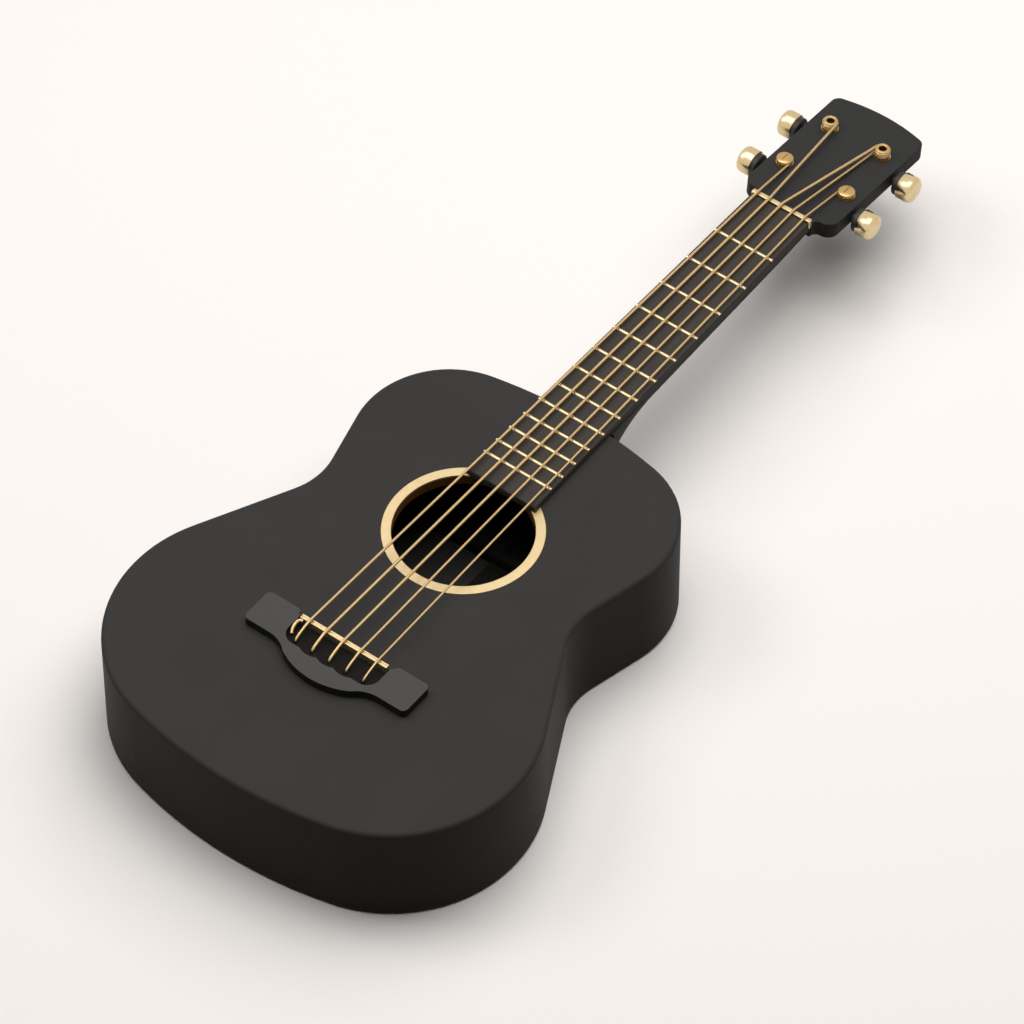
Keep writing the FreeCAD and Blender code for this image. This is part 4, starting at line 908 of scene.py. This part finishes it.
@dataclass
class Strings:
    """Five strings from their ball ends under the bridge to the posts."""

    count: int = 5
    radius: float = 0.85 * MM
    radii_mm: tuple[float, ...] = (0.88, 0.98, 0.96, 0.8, 0.7)
    saddle_step: float = 12.4 * MM
    nut_step: float = 8.8 * MM
    hole_back: float = 13.5 * MM
    tail_radius: float = 1.15 * MM
    # The machine head, and the turn up its post, that each string goes to.
    posts: tuple[tuple[int, int], ...] = ((2, 0), (0, 2), (1, 2), (1, 0), (3, 0))

    def across(self, step: float) -> list[float]:
        """Places of the strings across the guitar."""
        return [(index - (self.count - 1) / 2) * step for index in range(self.count)]

    def height(self, node: str) -> float:
        """Height of the strings' centres over a bar that they cross."""
        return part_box(node)[1].z + self.radius + 0.05 * MM

    def build(self, heads: Sequence[MachineHead]) -> None:
        """Models each string and the loose tail at the bass end of the saddle."""
        saddle_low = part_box("saddle")[0]
        nut_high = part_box("nut")[1]
        saddle_z = self.height("saddle")
        nut_z = self.height("nut")
        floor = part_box("string_1")[0].z
        for index, (head_index, turn) in enumerate(self.posts):
            x = self.across(self.saddle_step)[index]
            nut_x = self.across(self.nut_step)[index]
            sunk = max(0.0, self.radii_mm[index] * MM - self.radius)
            break_low = Vector((x, saddle_low.y + 0.5 * MM, saddle_z - sunk))
            break_high = Vector((nut_x, nut_high.y - 0.5 * MM, nut_z))
            end = self.post_end(heads[head_index], break_high, turn)
            run = (break_high - break_low).normalized()
            fall = (end - break_high).normalized()
            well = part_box("bridge")[0].z + 2.6 * MM
            drop = Vector((x, -self.hole_back, 0))
            points = [drop + Vector((0, 0, floor)), drop + Vector((0, 0, well - 2.0 * MM)),
                      drop + Vector((0, 0.1 * MM, well)),
                      drop + Vector((0, 0.9 * MM, well + 1.7 * MM)),
                      drop + Vector((0, 3.2 * MM, well + 3.1 * MM)),
                      Vector((x, -6.0 * MM, saddle_z - 1.5 * MM)),
                      Vector((x, -1.0 * MM, saddle_z - 0.15 * MM)), break_low,
                      break_low + run * 1.2 * MM, break_low + run * 0.05,
                      (break_low + break_high) / 2, break_high - run * 0.05,
                      break_high - run * 1.2 * MM, break_high, break_high + fall * 1.2 * MM,
                      (break_high + end) / 2, end]
            string = wire(points, self.radii_mm[index] * MM, 6)
            name = "string_%d" % (index + 1)
            Model.add(string, "wound_" + name, "guitar", Paint.STRING, name)
        self.build_tail()
        Model.dress(Paint.STRING, "string_ball_ends")

    def post_end(self, head: MachineHead, start: Vector, turn: int) -> Vector:
        """Point where a string meets the turns on its post, on the inner side."""
        place = head.upright()
        flat = place.inverted() @ start
        reach = math.hypot(flat.x, flat.y)
        half_angle = math.acos(head.coil / reach)
        base = math.atan2(flat.y, flat.x)
        height = head.first_turn + turn * head.pitch
        touches = []
        for sign in (-1, 1):
            angle = base + sign * half_angle
            touches.append(place @ Vector((head.coil * math.cos(angle),
                                           head.coil * math.sin(angle), height)))
        return min(touches, key=lambda point: abs(point.x))

    def build_tail(self) -> None:
        """Clipped tail of the bass string, curling from the saddle's end into the well."""
        low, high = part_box("string_tail")
        points = [Vector((high.x - 0.5 * MM, high.y - 0.7 * MM, high.z - self.radius)),
                  Vector((high.x - 2.2 * MM, high.y - 0.8 * MM, high.z - self.radius)),
                  Vector((low.x + self.radius, high.y - 2.4 * MM, high.z - self.radius)),
                  Vector((low.x + self.radius, (low.y + high.y) / 2, high.z - 1.2 * MM)),
                  Vector((low.x + 1.3 * MM, low.y + 2.0 * MM, low.z + 1.6 * MM)),
                  Vector((low.x + 2.4 * MM, low.y + 0.8 * MM, low.z + self.radius))]
        tail = wire(points, self.tail_radius, 8)
        Model.add(tail, "bass_string_tail", "guitar", Paint.STRING, "string_tail")


# ------------------------------------------------------------------ studio
@dataclass(frozen=True)
class Lamp:
    """A soft lamp: its place, the length of its sides, and its power in watts."""

    name: str
    place: tuple[float, float, float]
    size: float
    power: float
    mirrored: bool = True


@dataclass
class Studio:
    """Plain pale floor, soft lamps and the camera."""

    lamps: tuple[Lamp, ...] = (
        # The far lamp stays out of the metal, so that its colours come out as written.
        Lamp("far", (0.1, 1.1, 2.2), 2.4, 46.4, mirrored=False),
        Lamp("overhead", (0.0, 0.2, 2.6), 2.0, 27.2),
        Lamp("left", (-1.4, -0.4, 1.9), 1.0, 13.8))
    middle: Vector = field(default_factory=lambda: Vector((0.0, 0.2, 0.05)))
    floor_size: float = 12.0
    floor_colour: str = "#f2ede9"
    backdrop_colour: str = "#f9f4f0"
    glow: float = 0.02
    shade_colour: str = "#45423f"
    target: Vector = field(default_factory=lambda: Vector((0.01715, 0.1385, 0.080)))
    azimuth: float = 37.199
    elevation: float = 49.734
    distance: float = 3.8115
    lens_mm: float = 228.516
    sensor_mm: float = 36.0

    def build(self) -> None:
        """Sets up the studio."""
        self.build_floor()
        self.build_world()
        for lamp in self.lamps:
            self.hang(lamp)
        self.build_camera()
        scene = bpy.context.scene
        scene.view_settings.view_transform = "Standard"

    def backdrop(self, tree: bpy.types.NodeTree) -> bpy.types.NodeSocket:
        """1 where the eye sees the backdrop directly, in metal or through glass."""
        rays = add_node(tree, "ShaderNodeLightPath")
        direct = add_node(tree, "ShaderNodeMath", {0: rays.outputs["Is Camera Ray"],
                                                   1: rays.outputs["Is Glossy Ray"]},
                          operation="MAXIMUM")
        seen = add_node(tree, "ShaderNodeMath", {0: direct.outputs[0],
                                                 1: rays.outputs["Is Transmission Ray"]},
                        operation="MAXIMUM")
        return seen.outputs[0]

    def build_floor(self) -> None:
        """Wide floor that gives back less light to the object than the eye sees."""
        bpy.ops.object.select_all(action="DESELECT")
        bpy.ops.mesh.primitive_plane_add(size=self.floor_size, location=(0, 0, 0))
        floor = bpy.context.object
        floor.name = "studio_floor"
        material = bpy.data.materials.new("painted floor")
        material.use_nodes = True
        tree = material.node_tree
        tree.nodes.clear()
        seen = self.backdrop(tree)
        colour = add_node(tree, "ShaderNodeMix", {0: seen}, data_type="RGBA")
        colour.inputs[6].default_value = linear(self.shade_colour)
        colour.inputs[7].default_value = linear(self.floor_colour)
        shader = add_node(tree, "ShaderNodeBsdfPrincipled", {
            "Base Color": colour.outputs[2], "Roughness": 0.9, "Specular IOR Level": 0.0})
        add_node(tree, "ShaderNodeOutputMaterial", {"Surface": shader.outputs["BSDF"]})
        floor.data.materials.append(material)

    def build_world(self) -> None:
        """Even pale surroundings, dimmer as a lamp than as a view."""
        world = bpy.data.worlds.new("studio")
        bpy.context.scene.world = world
        world.use_nodes = True
        tree = world.node_tree
        tree.nodes.clear()
        view = add_node(tree, "ShaderNodeBackground", {
            "Color": linear(self.backdrop_colour), "Strength": 1.0})
        glow = add_node(tree, "ShaderNodeBackground", {
            "Color": linear(self.backdrop_colour), "Strength": self.glow})
        mix = add_node(tree, "ShaderNodeMixShader", {0: self.backdrop(tree),
                                                     1: glow.outputs[0], 2: view.outputs[0]})
        add_node(tree, "ShaderNodeOutputWorld", {"Surface": mix.outputs[0]})

    def hang(self, lamp: Lamp) -> None:
        """Square soft lamp that faces the middle of the guitar."""
        bpy.ops.object.light_add(type="AREA", location=lamp.place)
        light = bpy.context.object
        light.name = lamp.name
        light.data.shape = "SQUARE"
        light.data.size = lamp.size
        light.data.energy = lamp.power
        light.visible_glossy = lamp.mirrored
        aim = self.middle - Vector(lamp.place)
        light.rotation_euler = aim.to_track_quat("-Z", "Y").to_euler()

    def build_camera(self) -> None:
        """Long lens above the tail, turned towards the headstock."""
        turn = math.radians(self.azimuth)
        rise = math.radians(self.elevation)
        back = Vector((math.sin(turn) * math.cos(rise), -math.cos(turn) * math.cos(rise),
                       math.sin(rise)))
        bpy.ops.object.camera_add(location=self.target + back * self.distance)
        camera = bpy.context.object
        camera.rotation_euler = (-back).to_track_quat("-Z", "Y").to_euler()
        camera.data.sensor_width = self.sensor_mm
        camera.data.lens = self.lens_mm
        camera.data.clip_end = 50.0
        bpy.context.scene.camera = camera


def main() -> None:
    """Builds the guitar and its studio, in order."""
    logging.basicConfig(level=logging.INFO, format="%(message)s")
    frame = Model.load()
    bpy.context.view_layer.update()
    strings = Strings()
    SoundBox().build()
    SoundHole().build()
    Bridge().build()
    Neck().build(strings.across(strings.nut_step), strings.height("nut"))
    headgear = Headgear()
    headgear.build(frame["joints"], strings.radius)
    strings.build(headgear.heads)
    Studio().build()


if __name__ == "__main__":
    main()
